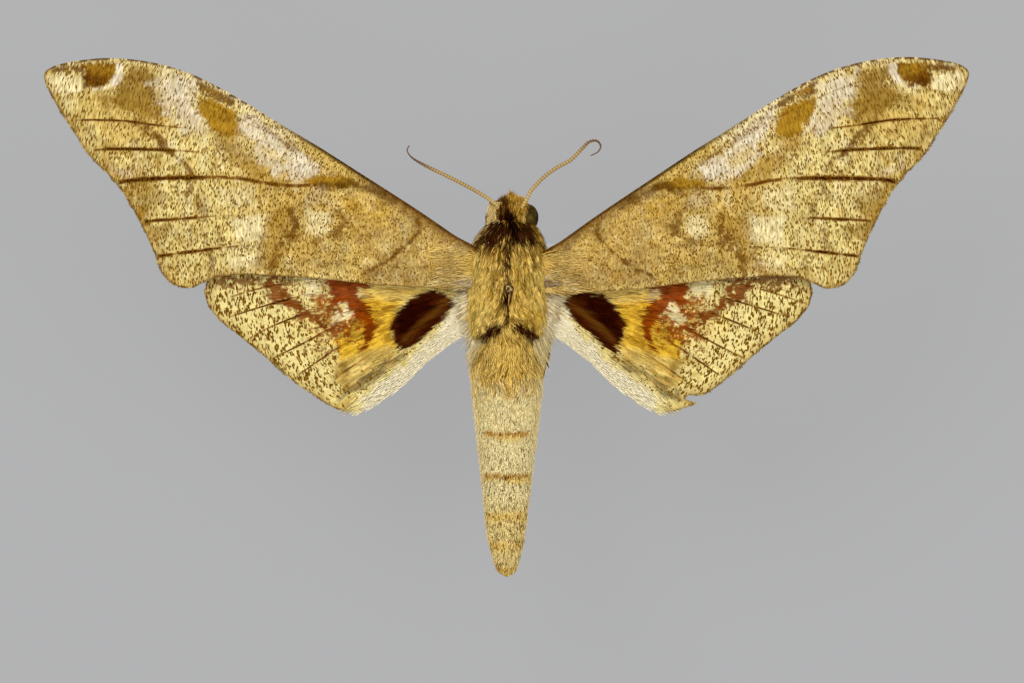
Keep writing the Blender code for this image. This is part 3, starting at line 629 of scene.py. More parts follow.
class Painting:
    """Colour and amount of flecks at places on a plane, built up mark by mark."""

    def __init__(
        self, x: Array, y: Array, ground: Tone, fleck: float, seed: int, fans: bool = True
    ) -> None:
        """Starts with a plain ground.

        Args:
            x: Places' x.
            y: Places' y.
            ground: The colour under everything.
            fleck: The ground's amount of flecks.
            seed: Sets how edges stray.
            fans: Whether hair fans out from the wing's root, or lies straight back.
        """
        self.x, self.y, self.fans = x, y, fans
        self.cloud = Cloud(seed)
        self.jitter = np.random.default_rng(seed).normal(0, 1, len(x))
        self.colour = np.tile(ground.linear(), (len(x), 1))
        self.fleck = np.full(len(x), fleck)

    def wash(self, tone: Optional[Tone], mask: Array, fleck: Optional[float] = None) -> None:
        """Mixes a tone, and an amount of flecks if given, by a mask.

        Args:
            tone: The tone, or none.
            mask: How far each place takes it, 0 to 1.
            fleck: The amount of flecks, or none.
        """
        share = mask[:, None]
        if tone is not None:
            self.colour = blend(self.colour, tone.linear(), share)
        if fleck is not None:
            self.fleck = blend(self.fleck, fleck, mask)

    def streaks(self, grain: float) -> Array:
        """Random values in streaks that follow the hair.

        Args:
            grain: Size of the streaks.

        Returns:
            One value for each place.
        """
        if not self.fans:
            return self.cloud.at(self.x * 2, self.y / 2, grain)
        across, up = self.x - HAIR_ROOT[0], self.y - HAIR_ROOT[1]
        return self.cloud.at(np.arctan2(up, across) * 26, np.hypot(across, up) / 3, grain, 3)

    def mask_of(self, mark: Mark) -> Array:
        """How much of each place a mark covers, 0 to 1.

        Args:
            mark: The marking.

        Returns:
            One share for each place.
        """
        if mark.hairy:
            stray = self.streaks(mark.grain) * mark.ragged
        else:
            stray = self.cloud.at(self.x, self.y, mark.grain) * mark.ragged
            stray += self.jitter * mark.ragged * 0.35
        if mark.width:
            far = distance_to(self.x, self.y, mark.points) - mark.width / 2
        else:
            far = distance_to(self.x, self.y, mark.points, closed=True)
            far = np.where(inside(self.x, self.y, mark.points), -far, far)
        return (1 - smooth_step(far + stray, -mark.soft / 2, mark.soft / 2)) * mark.strength

    def add(self, mark: Mark) -> None:
        """Paints one mark."""
        self.wash(mark.tone, self.mask_of(mark), mark.fleck)


# Meshes


@dataclass
class Shape:
    """A triangle mesh being put together: points, triangles and what each point carries."""

    points: Array
    triangles: Array
    paint: Optional[Array] = None
    numbers: dict[str, Array] = field(default_factory=dict)
    vectors: dict[str, Array] = field(default_factory=dict)
    unwrap: Optional[Array] = None

    @staticmethod
    def joined(shapes: Sequence["Shape"]) -> "Shape":
        """Several painted and unwrapped shapes as one.

        Args:
            shapes: The shapes.

        Returns:
            All of them as one.
        """
        starts = np.cumsum([0] + [len(shape.points) for shape in shapes[:-1]])
        return Shape(
            np.vstack([shape.points for shape in shapes]),
            np.vstack([shape.triangles + start for shape, start in zip(shapes, starts)]),
            np.vstack([shape.paint for shape in shapes]),
            unwrap=np.vstack([shape.unwrap for shape in shapes]),
        )

    def piece(self, name: str, finish: Material, slot: str, *nodes: str) -> Thing:
        """Makes the Blender object.

        Args:
            name: The piece's name.
            finish: Its material.
            slot: The slot of its look; not used.
            nodes: The nodes that it stands for.

        Returns:
            The object, riding on the frame's body.
        """
        mesh = bpy.data.meshes.new(name)
        count = len(self.triangles)
        mesh.vertices.add(len(self.points))
        mesh.vertices.foreach_set("co", (self.points * MM).astype(np.float32).ravel())
        mesh.loops.add(count * 3)
        mesh.loops.foreach_set("vertex_index", self.triangles.astype(np.int32).ravel())
        mesh.polygons.add(count)
        mesh.polygons.foreach_set("loop_start", np.arange(0, count * 3, 3, dtype=np.int32))
        mesh.update(calc_edges=True)
        stored = []
        if self.paint is not None:
            opaque = np.ones((len(self.paint), 1))
            stored.append(("paint", "FLOAT_COLOR", "color", np.hstack([self.paint, opaque])))
        stored += [(key, "FLOAT", "value", values) for key, values in self.numbers.items()]
        stored += [(key, "FLOAT_VECTOR", "vector", values) for key, values in self.vectors.items()]
        for key, kind, member, values in stored:
            layer = mesh.attributes.new(key, kind, "POINT")
            layer.data.foreach_set(member, values.astype(np.float32).ravel())
        if self.unwrap is not None:
            layer = mesh.uv_layers.new(name=BAKE_MAP)
            layer.data.foreach_set("uv", self.unwrap[self.triangles.ravel()].astype(np.float32).ravel())
        mesh.shade_smooth()
        mesh.materials.append(finish)
        made = placed(name, mesh)
        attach(made, "root")
        if nodes:
            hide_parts(*nodes)
        log.info("%s: %d triangles", name, count)
        return made


def placed(name: str, data: bpy.types.ID) -> Thing:
    """A new object in the scene.

    Args:
        name: Its name.
        data: Its mesh, light or camera.

    Returns:
        The object.
    """
    made = bpy.data.objects.new(name, data)
    bpy.context.scene.collection.objects.link(made)
    return made


def sleeve(rows: int, width: int, sides: int) -> Array:
    """Triangles of a closed tube, whose rings' points come first, then its two tips.

    Args:
        rows: How many rings it has.
        width: How many points a ring has: one more than its sides where a seam parts it.
        sides: How many sides it has.

    Returns:
        The triangles.
    """
    row, here = np.meshgrid(np.arange(rows - 1), np.arange(sides), indexing="ij")
    a = (row * width + here).ravel()
    b = (row * width + (here + 1) % width).ravel()
    end = np.arange(sides)
    after = (end + 1) % width
    tip, base = np.full(sides, rows * width), (rows - 1) * width
    corners = [(a, b, b + width), (a, b + width, a + width)]
    corners += [(tip, after, end), (tip + 1, base + end, base + after)]
    return np.vstack([np.stack(three, 1) for three in corners])


def tube(
    path: Array, radii: Array, sides: int, up: Sequence[float] = (0, 0, 1), tones: Sequence[Tone] = ()
) -> Shape:
    """A round tube along a path, closed at both ends.

    Args:
        path: The places that it goes through.
        radii: Its radius at each.
        sides: How many sides it has.
        up: A direction that is not along it.
        tones: Its colour, or the colours of its start and end.

    Returns:
        The tube, whose unwrap runs along it.
    """
    path = np.asarray(path, float)
    ahead = unit(np.gradient(path, axis=0))
    side = unit(np.cross(ahead, np.asarray(up, float)))
    lift = np.cross(side, ahead)
    turns = np.arange(sides) / sides * 2 * math.pi
    ring = side[:, None, :] * np.cos(turns)[None, :, None] + lift[:, None, :] * np.sin(turns)[None, :, None]
    points = (path[:, None, :] + ring * np.asarray(radii)[:, None, None]).reshape(-1, 3)
    rows = len(path)
    along = np.concatenate([np.repeat(np.linspace(0, 1, rows), sides), [0.0, 1.0]])
    around = np.concatenate([np.tile(np.arange(sides) / sides, rows), [0.5, 0.5]])
    made = Shape(np.vstack([points, path[:1], path[-1:]]), sleeve(rows, sides, sides))
    made.unwrap = np.stack([0.02 + along * 0.96, 0.02 + around * 0.9], 1)
    if tones:
        made.paint = blend(tones[0].linear(), tones[-1].linear(), along[:, None])
    return made


TUFT_STEPS = np.array((0, 0.35, 0.7, 1.0))  # shares of a tuft's length where its path has a place
TUFT_TAPER = (0.6, 1.0, 0.72)
FLAT = (0, 0, 0, 0)  # a tuft's height at its four places, where it has none
UP = (0.0, 0.0, 1.0)
TUFT_PATCH = 0.003  # size of a tuft's patch on the unwrap


def capped(colour: Array, most: float = 0.95) -> Array:
    """Colours dimmed to what a surface can reflect, their hue kept."""
    return colour * np.minimum(1, most / np.maximum(colour.max(-1, keepdims=True), 1e-6))


def picked(tones: Sequence[Tone], draw: np.random.Generator, count: int) -> Array:
    """Colours drawn at random from a few tones."""
    return np.stack([tone.linear() for tone in tones])[draw.integers(0, len(tones), count)]


def stepped(root: Array, way: Array, off: Array, heights: Sequence[float]) -> Array:
    """Tufts' paths: each goes a way from its root, and off the surface by a height at each step."""
    return np.stack([root + way * share + off * height for share, height in zip(TUFT_STEPS, heights)], 1)


def graded(colour: Array, root: float, tip: float) -> Array:
    """Each tuft's one colour as four, from its root to its tip."""
    return capped(colour[:, None, :] * np.linspace(root, tip, 4)[None, :, None])


def tufts(
    paths: Array, ups: Array, widths: Array, paint: Array,
    roots_unwrap: Array, ridge: float = 0.45,
) -> Shape:
    """Many thin tapered tufts, three-sided and pointed.

    Args:
        paths: For each tuft, its four places from root to tip.
        ups: For each tuft, the direction off the skin.
        widths: Each tuft's greatest width.
        paint: Each tuft's colour at its four places.
        roots_unwrap: Each root's place on the skin's unwrap.
        ridge: Height of the upper edge against the width.

    Returns:
        All of them as one shape.
    """
    count = len(paths)
    ahead = unit(paths[:, 3] - paths[:, 0])
    side = unit(np.cross(ahead, ups))
    lift = np.cross(side, ahead)
    points = np.zeros((count, 10, 3))
    for row, taper in enumerate(TUFT_TAPER):
        half = side * (widths * taper / 2)[:, None]
        crest = lift * (widths * taper * ridge)[:, None]
        points[:, row * 3] = paths[:, row] - half
        points[:, row * 3 + 1] = paths[:, row] + crest
        points[:, row * 3 + 2] = paths[:, row] + half
    points[:, 9] = paths[:, 3]
    faces = [(0, 2, 1)]
    for row in (0, 3):
        for k in range(3):
            a, b = row + k, row + (k + 1) % 3
            faces += [(a, b, b + 3), (a, b + 3, a + 3)]
    faces += [(6, 7, 9), (7, 8, 9), (8, 6, 9)]
    one = np.array(faces)
    triangles = (one[None, :, :] + (np.arange(count) * 10)[:, None, None]).reshape(-1, 3)
    row_of = np.array([0, 0, 0, 1, 1, 1, 2, 2, 2, 3])
    across = np.array([-0.5, 0, 0.5] * 3 + [0.0])
    # Painted highlight along each tuft's crest and painted shade on its two lower edges.
    crest_light = np.array([0.92, 1.08, 0.92] * 3 + [1.0])
    paint = paint[:, row_of] * crest_light[None, :, None]
    patch = np.stack([across, TUFT_STEPS[row_of] - 0.5], 1) * TUFT_PATCH
    unwrap = roots_unwrap[:, None, :] + patch[None, :, :]
    return Shape(points.reshape(-1, 3), triangles, paint.reshape(-1, 3), unwrap=unwrap.reshape(-1, 2))


# The body


BODY_MARKS = [
    Mark(Tone.THORAX_YELLOW, [(-5.5, 5), (-2.9, 4.2), (-2.2, 0.6), (-1.4, -4), (-5.5, -5.6)], soft=1.4,
        strength=1, ragged=0.6),
    Mark(Tone.THORAX_YELLOW, [(3.2, 3), (5.5, 4), (5.5, -5.6), (1.6, -4.6), (2, -0.4)], soft=1.4, strength=1,
        ragged=0.6),
    Mark(Tone.THORAX_OLIVE, [(-2.8, 5.6), (-0.5, 5.6), (-0.6, -0.6), (-1.9, -0.6)], soft=1.2, strength=0.75,
        ragged=0.7),
    Mark(Tone.THORAX_OLIVE, [(0.6, 5.8), (3.6, 6), (4.6, 3.6), (2.8, 1.2), (1.6, -0.4)], soft=1.2,
        strength=0.6, ragged=0.7),
    Mark(Tone.THORAX_YELLOW, [(0.9, 4.4), (1.7, 4.4), (1.6, 1.2), (1, 1.2)], strength=0.5),
    Mark(Tone.BROWN, [(-4, 5), (-1, 4.6), (0.4, 4.6), (2, 4.6), (4.2, 4.4)], width=1.2, soft=1.4,
        strength=0.7, ragged=0.8, hairy=True),
    Mark(Tone.GOLD, [(0.7, -2.8), (3.6, -2.4), (3.8, -5.6), (1, -4.4)], strength=0.8),
    Mark(Tone.PALE_GOLD, [(-3.6, -3), (-1, -3), (-1, -4.4), (-3.2, -5.6)], strength=0.7),
    Mark(Tone.BAND_ORANGE, [(0.9, -3.8), (2.2, -3.9), (3.3, -4.9)], width=0.9, soft=0.9, strength=0.5),
    Mark(Tone.BAND_ORANGE, [(-2.9, -4.6), (-1.9, -4)], width=0.7, soft=0.9, strength=0.3),
    Mark(Tone.BELLY_GOLD, [(-4.6, -5.8), (-1, -4.4), (1, -4.4), (4.4, -5.8), (4.4, -10.6), (-4.6, -10.6)],
        soft=1.6, strength=1, ragged=0.9),
    Mark(Tone.HEAD_PALE, [(-4.3, -6), (-3.9, -12)], width=0.9, soft=1, strength=0.8),
    Mark(Tone.HEAD_PALE, [(4.1, -6), (3.6, -12)], width=0.9, soft=1, strength=0.8),
    Mark(Tone.BELLY_CREAM, [(-5, -11.8), (-1.6, -11.4), (0, -12.9), (1.6, -11.4), (5, -11.8), (4, -35),
        (-4, -35)], soft=3.4, strength=1, ragged=0.9),
    Mark(Tone.BELLY_GOLD, [(-4, -26), (4, -26), (3, -36), (-3, -36)], soft=4, strength=0.5),
    Mark(Tone.GOLD, [(-1.4, -4), (1.4, -4), (2.2, -8), (0.8, -11), (-1.8, -9)], soft=1.4, strength=0.3),
    Mark(Tone.THORAX_OLIVE, [(-3.6, -5.8), (-3.6, -9)], width=1.3, soft=1.2),
    Mark(Tone.THORAX_OLIVE, [(3.3, -5.8), (3.3, -9.2)], width=1.3, soft=1.2),
    Mark(Tone.BROWN, [(-2.4, -8.6), (-2.2, -11)], width=0.9, soft=1.2, strength=0.5),
    Mark(Tone.BROWN, [(2, -6.6), (2.2, -8.6)], width=0.9, soft=1.2, strength=0.45),
    Mark(Tone.HEAD_GOLD, [(-3.6, 8.4), (-2.6, 13), (3.6, 13), (3.6, 8.4)], strength=1),
    Mark(Tone.HEAD_BROWN, [(-3.4, 8.2), (-3, 10.6), (-0.6, 11.6), (0.3, 10.4), (0.2, 8.6)], soft=0.9,
        ragged=0.5),
    Mark(Tone.COLLAR, [(-0.4, 10.7), (0.3, 8.8)], width=0.6, soft=0.9, strength=0.7, ragged=0.4, grain=0.6),
    Mark(Tone.COLLAR, [(-0.5, 8.8), (2.2, 8.4), (3.2, 7.4), (3.9, 6.3), (4.1, 5), (3.1, 4.9), (2.2, 5.4),
        (0.9, 5.6), (0.3, 5.2), (-0.5, 5.7), (-1.7, 4.9), (-2.7, 5.2), (-3.8, 5.2), (-3.3, 6.6), (-2.4, 7.9),
        (-1.5, 8.6)], soft=0.6, strength=0.97, ragged=0.9, grain=0.7, hairy=True),
    Mark(Tone.COLLAR_BLACK, [(-0.2, 9.3), (0.6, 8.8), (1, 7.6), (0.7, 6), (0, 6), (0, 7.8)], strength=0.95,
        ragged=0.6, grain=0.6),
    Mark(Tone.RUST, [(-1.4, 7), (-1.8, 6)], width=0.5, strength=0.22, ragged=0.4),
    Mark(Tone.RUST, [(1.8, 7.2), (2.4, 6.2)], width=0.5, strength=0.22, ragged=0.4),
    Mark(Tone.COLLAR_BLACK, [(-2.9, 6.2), (-1.4, 5.6)], width=0.7, strength=0.6),
    Mark(Tone.COLLAR_BLACK, [(1.8, 5.9), (3.4, 5.6)], width=0.7, strength=0.6),
    Mark(Tone.HEAD_PALE, [(-2.5, 10.8), (-3.1, 8.6), (-3.9, 7), (-4.6, 5.4)], width=0.8, soft=0.5,
        strength=0.95),
    Mark(Tone.OLIVE, [(3.9, 7.5), (4.6, 6.2), (4.9, 5.2)], width=0.9, soft=0.5),
    Mark(Tone.COLLAR, [(0, 5.6), (-0.2, 3), (-0.2, 0.6)], width=0.85, soft=0.45, strength=0.95, grain=0.5),
    Mark(Tone.COLLAR, [(-0.1, -0.4), (-0.15, -1.3)], width=1.15, soft=0.5, strength=1),
    Mark(Tone.BROWN, [(-0.15, -2.3), (-0.1, -3.2)], width=0.9, soft=0.7, strength=0.8),
    Mark(Tone.THORAX_OLIVE, [(-1.2, -2.7), (-0.2, -3.6), (1, -2.8)], width=0.8, strength=0.8),
]


@dataclass
class Body:
    """Thorax and abdomen as the solids have them, with the marks that skin and coat both carry."""

    thorax: Sequence[tuple] = (
        (8.0, 2.4, 2.4, 0.25, -0.1), (7.0, 3.1, 3.0, 0.15, -0.1), (5.9, 3.75, 3.5, 0.05, -0.05),
        (4.5, 4.15, 3.9, -0.05, 0.0), (2.0, 4.3, 4.2, -0.1, 0.0), (-1.0, 4.3, 4.2, -0.15, 0.0),
        (-3.5, 4.1, 4.0, -0.2, 0.0), (-5.4, 3.75, 3.6, -0.2, 0.0),
    )
    abdomen: Sequence[tuple] = (
        (-5.8, 2.9, 2.7, -0.2, -0.1), (-7.2, 3.5, 3.25, -0.2, -0.1), (-9.3, 4.0, 3.7, -0.25, -0.15),
        (-12.2, 3.9, 3.6, -0.2, -0.2), (-17.3, 3.4, 3.2, -0.2, -0.3), (-22.4, 2.9, 2.75, -0.22, -0.4),
        (-27.0, 2.45, 2.35, -0.3, -0.5), (-30.4, 2.05, 1.95, -0.3, -0.55), (-32.4, 1.5, 1.45, -0.28, -0.6),
        (-33.4, 1.25, 1.2, -0.25, -0.6), (-34.0, 0.95, 0.9, -0.22, -0.6), (-34.35, 0.5, 0.5, -0.2, -0.6),
    )
    segment_ends: Sequence[float] = (-9.3, -13.2, -17.3, -22.4, -27.0, -30.4, -32.9)
    unwrap_reach: tuple[float, float] = (12.0, -35.0)

    def ring(self, y: Array, over: bool = False) -> Array:
        """Half width, half height, middle x and middle z over BODY_HEIGHT at each y.

        Args:
            y: Places along the body.
            over: Whether the thorax's last ring runs on past its end, as its overhanging fur does.

        Returns:
            One row for each place.
        """
        rings = []
        for profile in (self.thorax, self.abdomen):
            table = np.array(profile)[::-1]
            rings.append(np.stack([np.interp(y, table[:, 0], table[:, k]) for k in (1, 2, 3, 4)], 1))
        share = 1.0 if over else smooth_step(y, -6.4, -5.2)[:, None]
        return blend(rings[1], rings[0], share)

    def place(self, y: Array, angle: Array, height: Array | float, over: bool = False) -> Array:
        """Places over the surface: angle 0 is the body's right side and a quarter turn its back.

        Args:
            y: Places along the body.
            angle: Turn round it.
            height: Height over the surface.
            over: As in ring.

        Returns:
            The places.
        """
        ring = self.ring(y, over)
        return np.stack([
            ring[:, 2] + (ring[:, 0] + height) * np.cos(angle),
            y,
            BODY_HEIGHT + ring[:, 3] + (ring[:, 1] + height) * np.sin(angle),
        ], 1)

    def unwrap(self, y: Array, angle: Array) -> Array:
        """The skin's unwrap: turn across and length up, seam along the belly.

        Args:
            y: Places along the body.
            angle: Turn round it.

        Returns:
            Their places on the unwrap.
        """
        front, back = self.unwrap_reach
        turn = ((angle + math.pi / 2) / (2 * math.pi)) % 1.0
        return np.stack([0.02 + turn * 0.96, 0.02 + (front - y) / (front - back) * 0.96], 1)

    def marks(self) -> list[Mark]:
        """The back's marks, from the head to the tip of the abdomen.

        Returns:
            The marks, in the order in which they are painted.
        """
        found = list(BODY_MARKS)
        for way in (-1, 1):
            found.append(Mark(Tone.COLLAR, [(3.1 * way, -5.7), (2.3 * way, -5.2), (1.2 * way, -4.4)],
                              width=1.3, soft=0.5, strength=1, ragged=0.35, grain=0.5))
        for y, tone, strength, reach, width in (
            (-17.3, Tone.BAND_ORANGE, 1.0, 2.4, 0.7), (-22.4, Tone.BAND_ORANGE, 1.0, 2.5, 0.6),
            (-27.2, Tone.BAND_GOLD, 0.7, 2.3, 0.9), (-30.4, Tone.BAND_ORANGE, 0.4, 1.9, 0.4),
            (-30.8, Tone.BAND_GOLD, 0.7, 1.9, 0.7), (-33.7, Tone.BAND_ORANGE, 0.8, 0.9, 0.6),
        ):
            line = [(-0.2 - reach, y), (-0.2, y - 0.1), (-0.2 + reach, y)]
            found.append(Mark(Tone.GOLD, [(px, py - 0.45) for px, py in line], width=0.5, soft=0.8,
                              strength=strength * 0.65))
            found.append(Mark(tone, line, width=width, soft=0.4, strength=strength, ragged=0.16, grain=0.5))
        return found

    def painted(self, x: Array, y: Array, up: Array) -> Array:
        """The colour of body places.

        Args:
            x: Places' x.
            y: Places' y.
            up: 1 where the surface faces up and -1 where it faces down.

        Returns:
            Linear colours.
        """
        art = Painting(x, y, Tone.THORAX_GOLD, 0.0, 41, False)
        for mark in self.marks():
            art.add(mark)
        under = 1 - smooth_step(up, -0.35, 0.1)
        ochre = np.where((y > -13)[:, None], Tone.UNDER_BROWN.linear(), Tone.UNDER_OCHRE.linear())
        return blend(art.colour, ochre, under[:, None])


@dataclass
class Head:
    """The head: a rolled ellipsoid."""

    middle: Triple = (0.35, 9.1, -0.1)
    radii: Triple = (2.5, 2.0, 2.25)
    roll_deg: float = 10.0
    eye_radii: Triple = (1.25, 1.62, 1.65)
    eye_offset: Triple = (2.0, -0.3, -0.3)

    def turn(self) -> Array:
        """The head's roll as a matrix."""
        return np.array(Matrix.Rotation(math.radians(-self.roll_deg), 3, "Y"))

    def place(self, offsets: Array) -> Array:
        """Places on the head from offsets in its own directions."""
        return np.array(self.middle) + np.array((0, 0, BODY_HEIGHT)) + offsets @ self.turn().T

    def eye(self, side: Side) -> Array:
        """The middle of an eye."""
        x, y, z = self.eye_offset
        return self.place(np.array([(x * side.value, y, z)]))[0]


@dataclass
class Skin:
    """One skin from the head to the tip of the abdomen, under the coat."""

    body: Body
    head: Head
    depth: float = 0.2
    step: float = 0.25
    sides: int = 96
    lip: float = 0.14

    def rings(self) -> Array:
        """Place, half width, half height, middle x and middle z of each ring.

        Returns:
            One row for each ring, from the head to the rear.
        """
        ys = np.arange(10.98, -34.3, -self.step)
        trunk = self.body.ring(ys)
        trunk[:, :2] -= self.depth
        wide, deep, high = self.head.radii
        across, ahead, up = self.head.middle
        swell = np.sqrt(np.clip(1 - ((ys - ahead) / (deep - 0.05)) ** 2, 0.01, 1))
        middle = np.tile((across, up), (len(ys), 1))
        ball = np.column_stack([(wide - self.depth) * swell, (high - self.depth) * swell, middle])
        rings = blend(trunk, ball, smooth_step(ys, 7.1, 8.6)[:, None])
        for end in self.body.segment_ends:
            past = end - ys
            rings[:, :2] += (self.lip * np.exp(-np.abs(past + 0.1) / 0.5) * (past < 0.05))[:, None]
            rings[:, :2] -= (0.1 * np.exp(-((past - 0.3) / 0.3) ** 2))[:, None]
        rings[:, :2] = np.maximum(rings[:, :2], 0.1)
        return np.hstack([ys[:, None], rings])

    def build(self, finish: Material) -> Thing:
        """Makes the skin.

        Args:
            finish: Its material.

        Returns:
            The piece.
        """
        rings = self.rings()
        rows, sides = len(rings), self.sides
        turns = np.linspace(0, 2 * math.pi, sides + 1) - math.pi / 2
        turn = np.tile(turns, rows)
        ring = np.repeat(rings, sides + 1, axis=0)
        wave = Cloud(5).at(turn * 4, ring[:, 0], 1.6, 2) * 0.05
        points = np.stack([
            ring[:, 3] + (ring[:, 1] + wave) * np.cos(turn),
            ring[:, 0],
            BODY_HEIGHT + ring[:, 4] + (ring[:, 2] + wave) * np.sin(turn),
        ], 1)
        seam = np.arange(rows) * (sides + 1) + sides
        points[seam] = points[seam - sides]
        tips = np.array([
            (rings[0, 3], rings[0, 0] + 0.06, BODY_HEIGHT + rings[0, 4]),
            (rings[-1, 3], rings[-1, 0] - 0.1, BODY_HEIGHT + rings[-1, 4]),
        ])
        points = np.vstack([points, tips])
        up = np.concatenate([np.sin(turn), [1.0, 1.0]])
        # The skin is painted darker and browner than the marks over it: painted shade where it shows between
        # the tufts.
        paint = self.body.painted(points[:, 0], points[:, 1], up) * np.array((0.8, 0.7, 0.56))
        unwrap = self.body.unwrap(points[:, 1], np.concatenate([turn, [0.0, 0.0]]))
        unwrap[:-2, 0] = 0.02 + np.tile(np.arange(sides + 1) / sides, rows) * 0.96
        shape = Shape(points, sleeve(rows, sides + 1, sides)[:, ::-1], paint, unwrap=unwrap)
        return shape.piece("body_skin", finish, "thorax_fur", "thorax", "abdomen", "head")


@dataclass
class Roots:
    """Where tufts stand on the body and how they lie, one value of each for every tuft."""

    y: Array
    angle: Array
    length: Array
    fan: Array  # how far each turns round the body as it goes back
    lift: Array  # height of each tip over the surface
    width: Array
    # A factor on each tuft's colour: under 1 it is painted shade, over 1 painted light that offsets the shade
    # tufts cast on one another.
    light: Array

    def kept(self, keep: Array) -> "Roots":
        """Those that a mask keeps."""
        return Roots(*(getattr(self, key)[keep] for key in self.__dataclass_fields__))


@dataclass
class Coat:
    """The tufts of thorax, abdomen and head."""

    body: Body
    head: Head
    thorax_count: int = 11300
    lock_count: int = 760
    each_lock: int = 15
    strand_count: int = 1500
    each_strand: int = 7
    ruff_count: int = 1500
    side_count: int = 2200
    shoulder_count: int = 3700
    fur_count: int = 10700
    scale_count: int = 11500
    head_count: int = 5200
    cheek_count: int = 2100
    fringe_count: int = 2300

    def lay(
        self, name: str, roots: Roots, seed: int, finish: Material, node: str,
        over: bool = False, ridge: float = 0.4, contrast: float = 0.2, speck: float = 0.0,
        deep: float = 0.6, follow: float = 0.85, mixed: float = 1.0,
    ) -> Thing:
        """Lays tufts back along the body.

        Args:
            name: The piece's name.
            roots: Where they stand and how they lie.
            seed: Sets the colours' scatter.
            finish: The material.
            node: The node that the coat stands for.
            over: Whether they overhang the thorax's end.
            ridge: Height of each tuft's upper edge against its width.
            contrast: How far colours scatter.
            speck: How much denser the dark specks are at the rear than in front.
            deep: How much painted shade darkens the roots, 0 to 1.
            follow: How far a tuft's colours follow the marks under it, against its root's.
            mixed: How far tufts take the colours of places beside them.

        Returns:
            The piece.
        """
        draw = np.random.default_rng(seed)
        y, angle, count = roots.y, roots.angle, len(roots.y)
        steps = []
        for share, rise in zip(TUFT_STEPS, (0, 0.45, 0.8, 1.0)):
            height = roots.lift * rise if share else -0.25
            steps.append(self.body.place(y - roots.length * share, angle + roots.fan * share, height, over))
        paths = np.stack(steps, 1)
        ups = unit(self.body.place(y, angle, 1.0) - self.body.place(y, angle, 0.0))
        stray = draw.normal(0, 0.3, (count, 1, 3)) * np.where(draw.random((count, 1, 1)) < 0.12, 3.0, 1.0)
        seen = paths[:, :1] + (paths - paths[:, :1]) * follow + stray * mixed
        paint = self.colours(seen, ups)
        # Painted highlight: tufts whose light is over 1 also take some of the pale tone.
        pale = np.clip(roots.light - 1, 0, 0.7)[:, None, None] * smooth_step(paint[..., :1], 0.15, 0.5)
        paint = blend(paint, Tone.THORAX_PALE.linear(), pale)
        paint = self.varied(paint * roots.light[:, None, None], draw, contrast, deep)
        if speck:
            rear = smooth_step(-y, 15.0, 31.0)
            clump = Cloud(17).at(seen[:, 0, 0] * 1.8, y * 1.4, 0.42, 1) * 0.8 + draw.normal(0, 0.32, count)
            share = ((clump > 0.74 - speck * rear) & (y < -13)) * draw.uniform(0.55, 0.95, count)
            paint = blend(paint, Tone.SPECK.linear(), share[:, None, None])
        shape = tufts(paths, ups, roots.width, paint, self.body.unwrap(y, angle), ridge)
        slot = {"thorax": "thorax_fur", "abdomen": "abdomen_scales", "head": "head_fur"}[node]
        return shape.piece(name, finish, slot, node)

    def colours(self, places: Array, ups: Array) -> Array:
        """The body's colours at tufts' four places."""
        return np.stack([self.body.painted(*places[:, k, :2].T, ups[:, 2]) for k in range(4)], 1)

    @staticmethod
    def varied(paint: Array, draw: np.random.Generator, contrast: float, deep: float) -> Array:
        """Scatters the tufts' colours: some paler, some browner, and darker at the root than at the tip,
        which is painted shade deep in the coat.

        Args:
            paint: Each tuft's four colours.
            draw: The random source.
            contrast: How far they scatter.
            deep: How much painted shade darkens the roots, 0 to 1.

        Returns:
            The colours, scattered.
        """
        count = len(paint)
        light = np.exp(draw.normal(0.0, contrast, count))[:, None, None]
        dark = (draw.random(count) < contrast)[:, None, None]
        brown = np.where(dark, np.array((0.55, 0.47, 0.36)), 1.0)
        # Painted shade at the roots: they lose more blue and green than red.
        shadow = np.array((0.7, 0.78, 0.88)) * deep  # how much of red, green and blue a root loses
        along = 1 - shadow * (1 - TUFT_STEPS)[:, None]
        return capped(paint * light * brown * along * (1 + contrast * (TUFT_STEPS[:, None] - 0.3)))

    @staticmethod
    def spread(y: Array, angle: Array) -> Array:
        """How far the thorax's hair turns outwards: little in front, much behind the pin.

        Args:
            y: Places along the body.
            angle: Turn round it.

        Returns:
            One turn for each place.
        """
        across = np.cos(angle)
        rear = smooth_step(-y, -1.0, 3.4)
        flow = Cloud(14).at(angle * 4, y, 1.3, 1) * 0.07
        return -np.sign(across) * (0.03 + 0.2 * rear * (1 - np.abs(across) ** 2)) + flow

    def trimmed(self, roots: Roots, draw: np.random.Generator) -> Roots:
        """Leaves out hair over the pin, and ends hair at the thorax's notched rear edge.

        Args:
            roots: Where tufts stand and how they lie.
            draw: The random source.

        Returns:
            Those that are left.
        """
        x = np.abs(self.body.place(roots.y, roots.angle + roots.fan, np.zeros(len(roots.y)), True)[:, 0])
        edge = -3.6 - 0.7 * smooth_step(x, 0.3, 1.2) - 1.5 * smooth_step(x, 1.2, 3.2)
        room = roots.y - edge + draw.normal(0.05, 0.26, len(x))
        roots.length = np.minimum(roots.length, room)
        return roots.kept((np.hypot(x, roots.y) > 0.5) & (roots.length > 0.45))

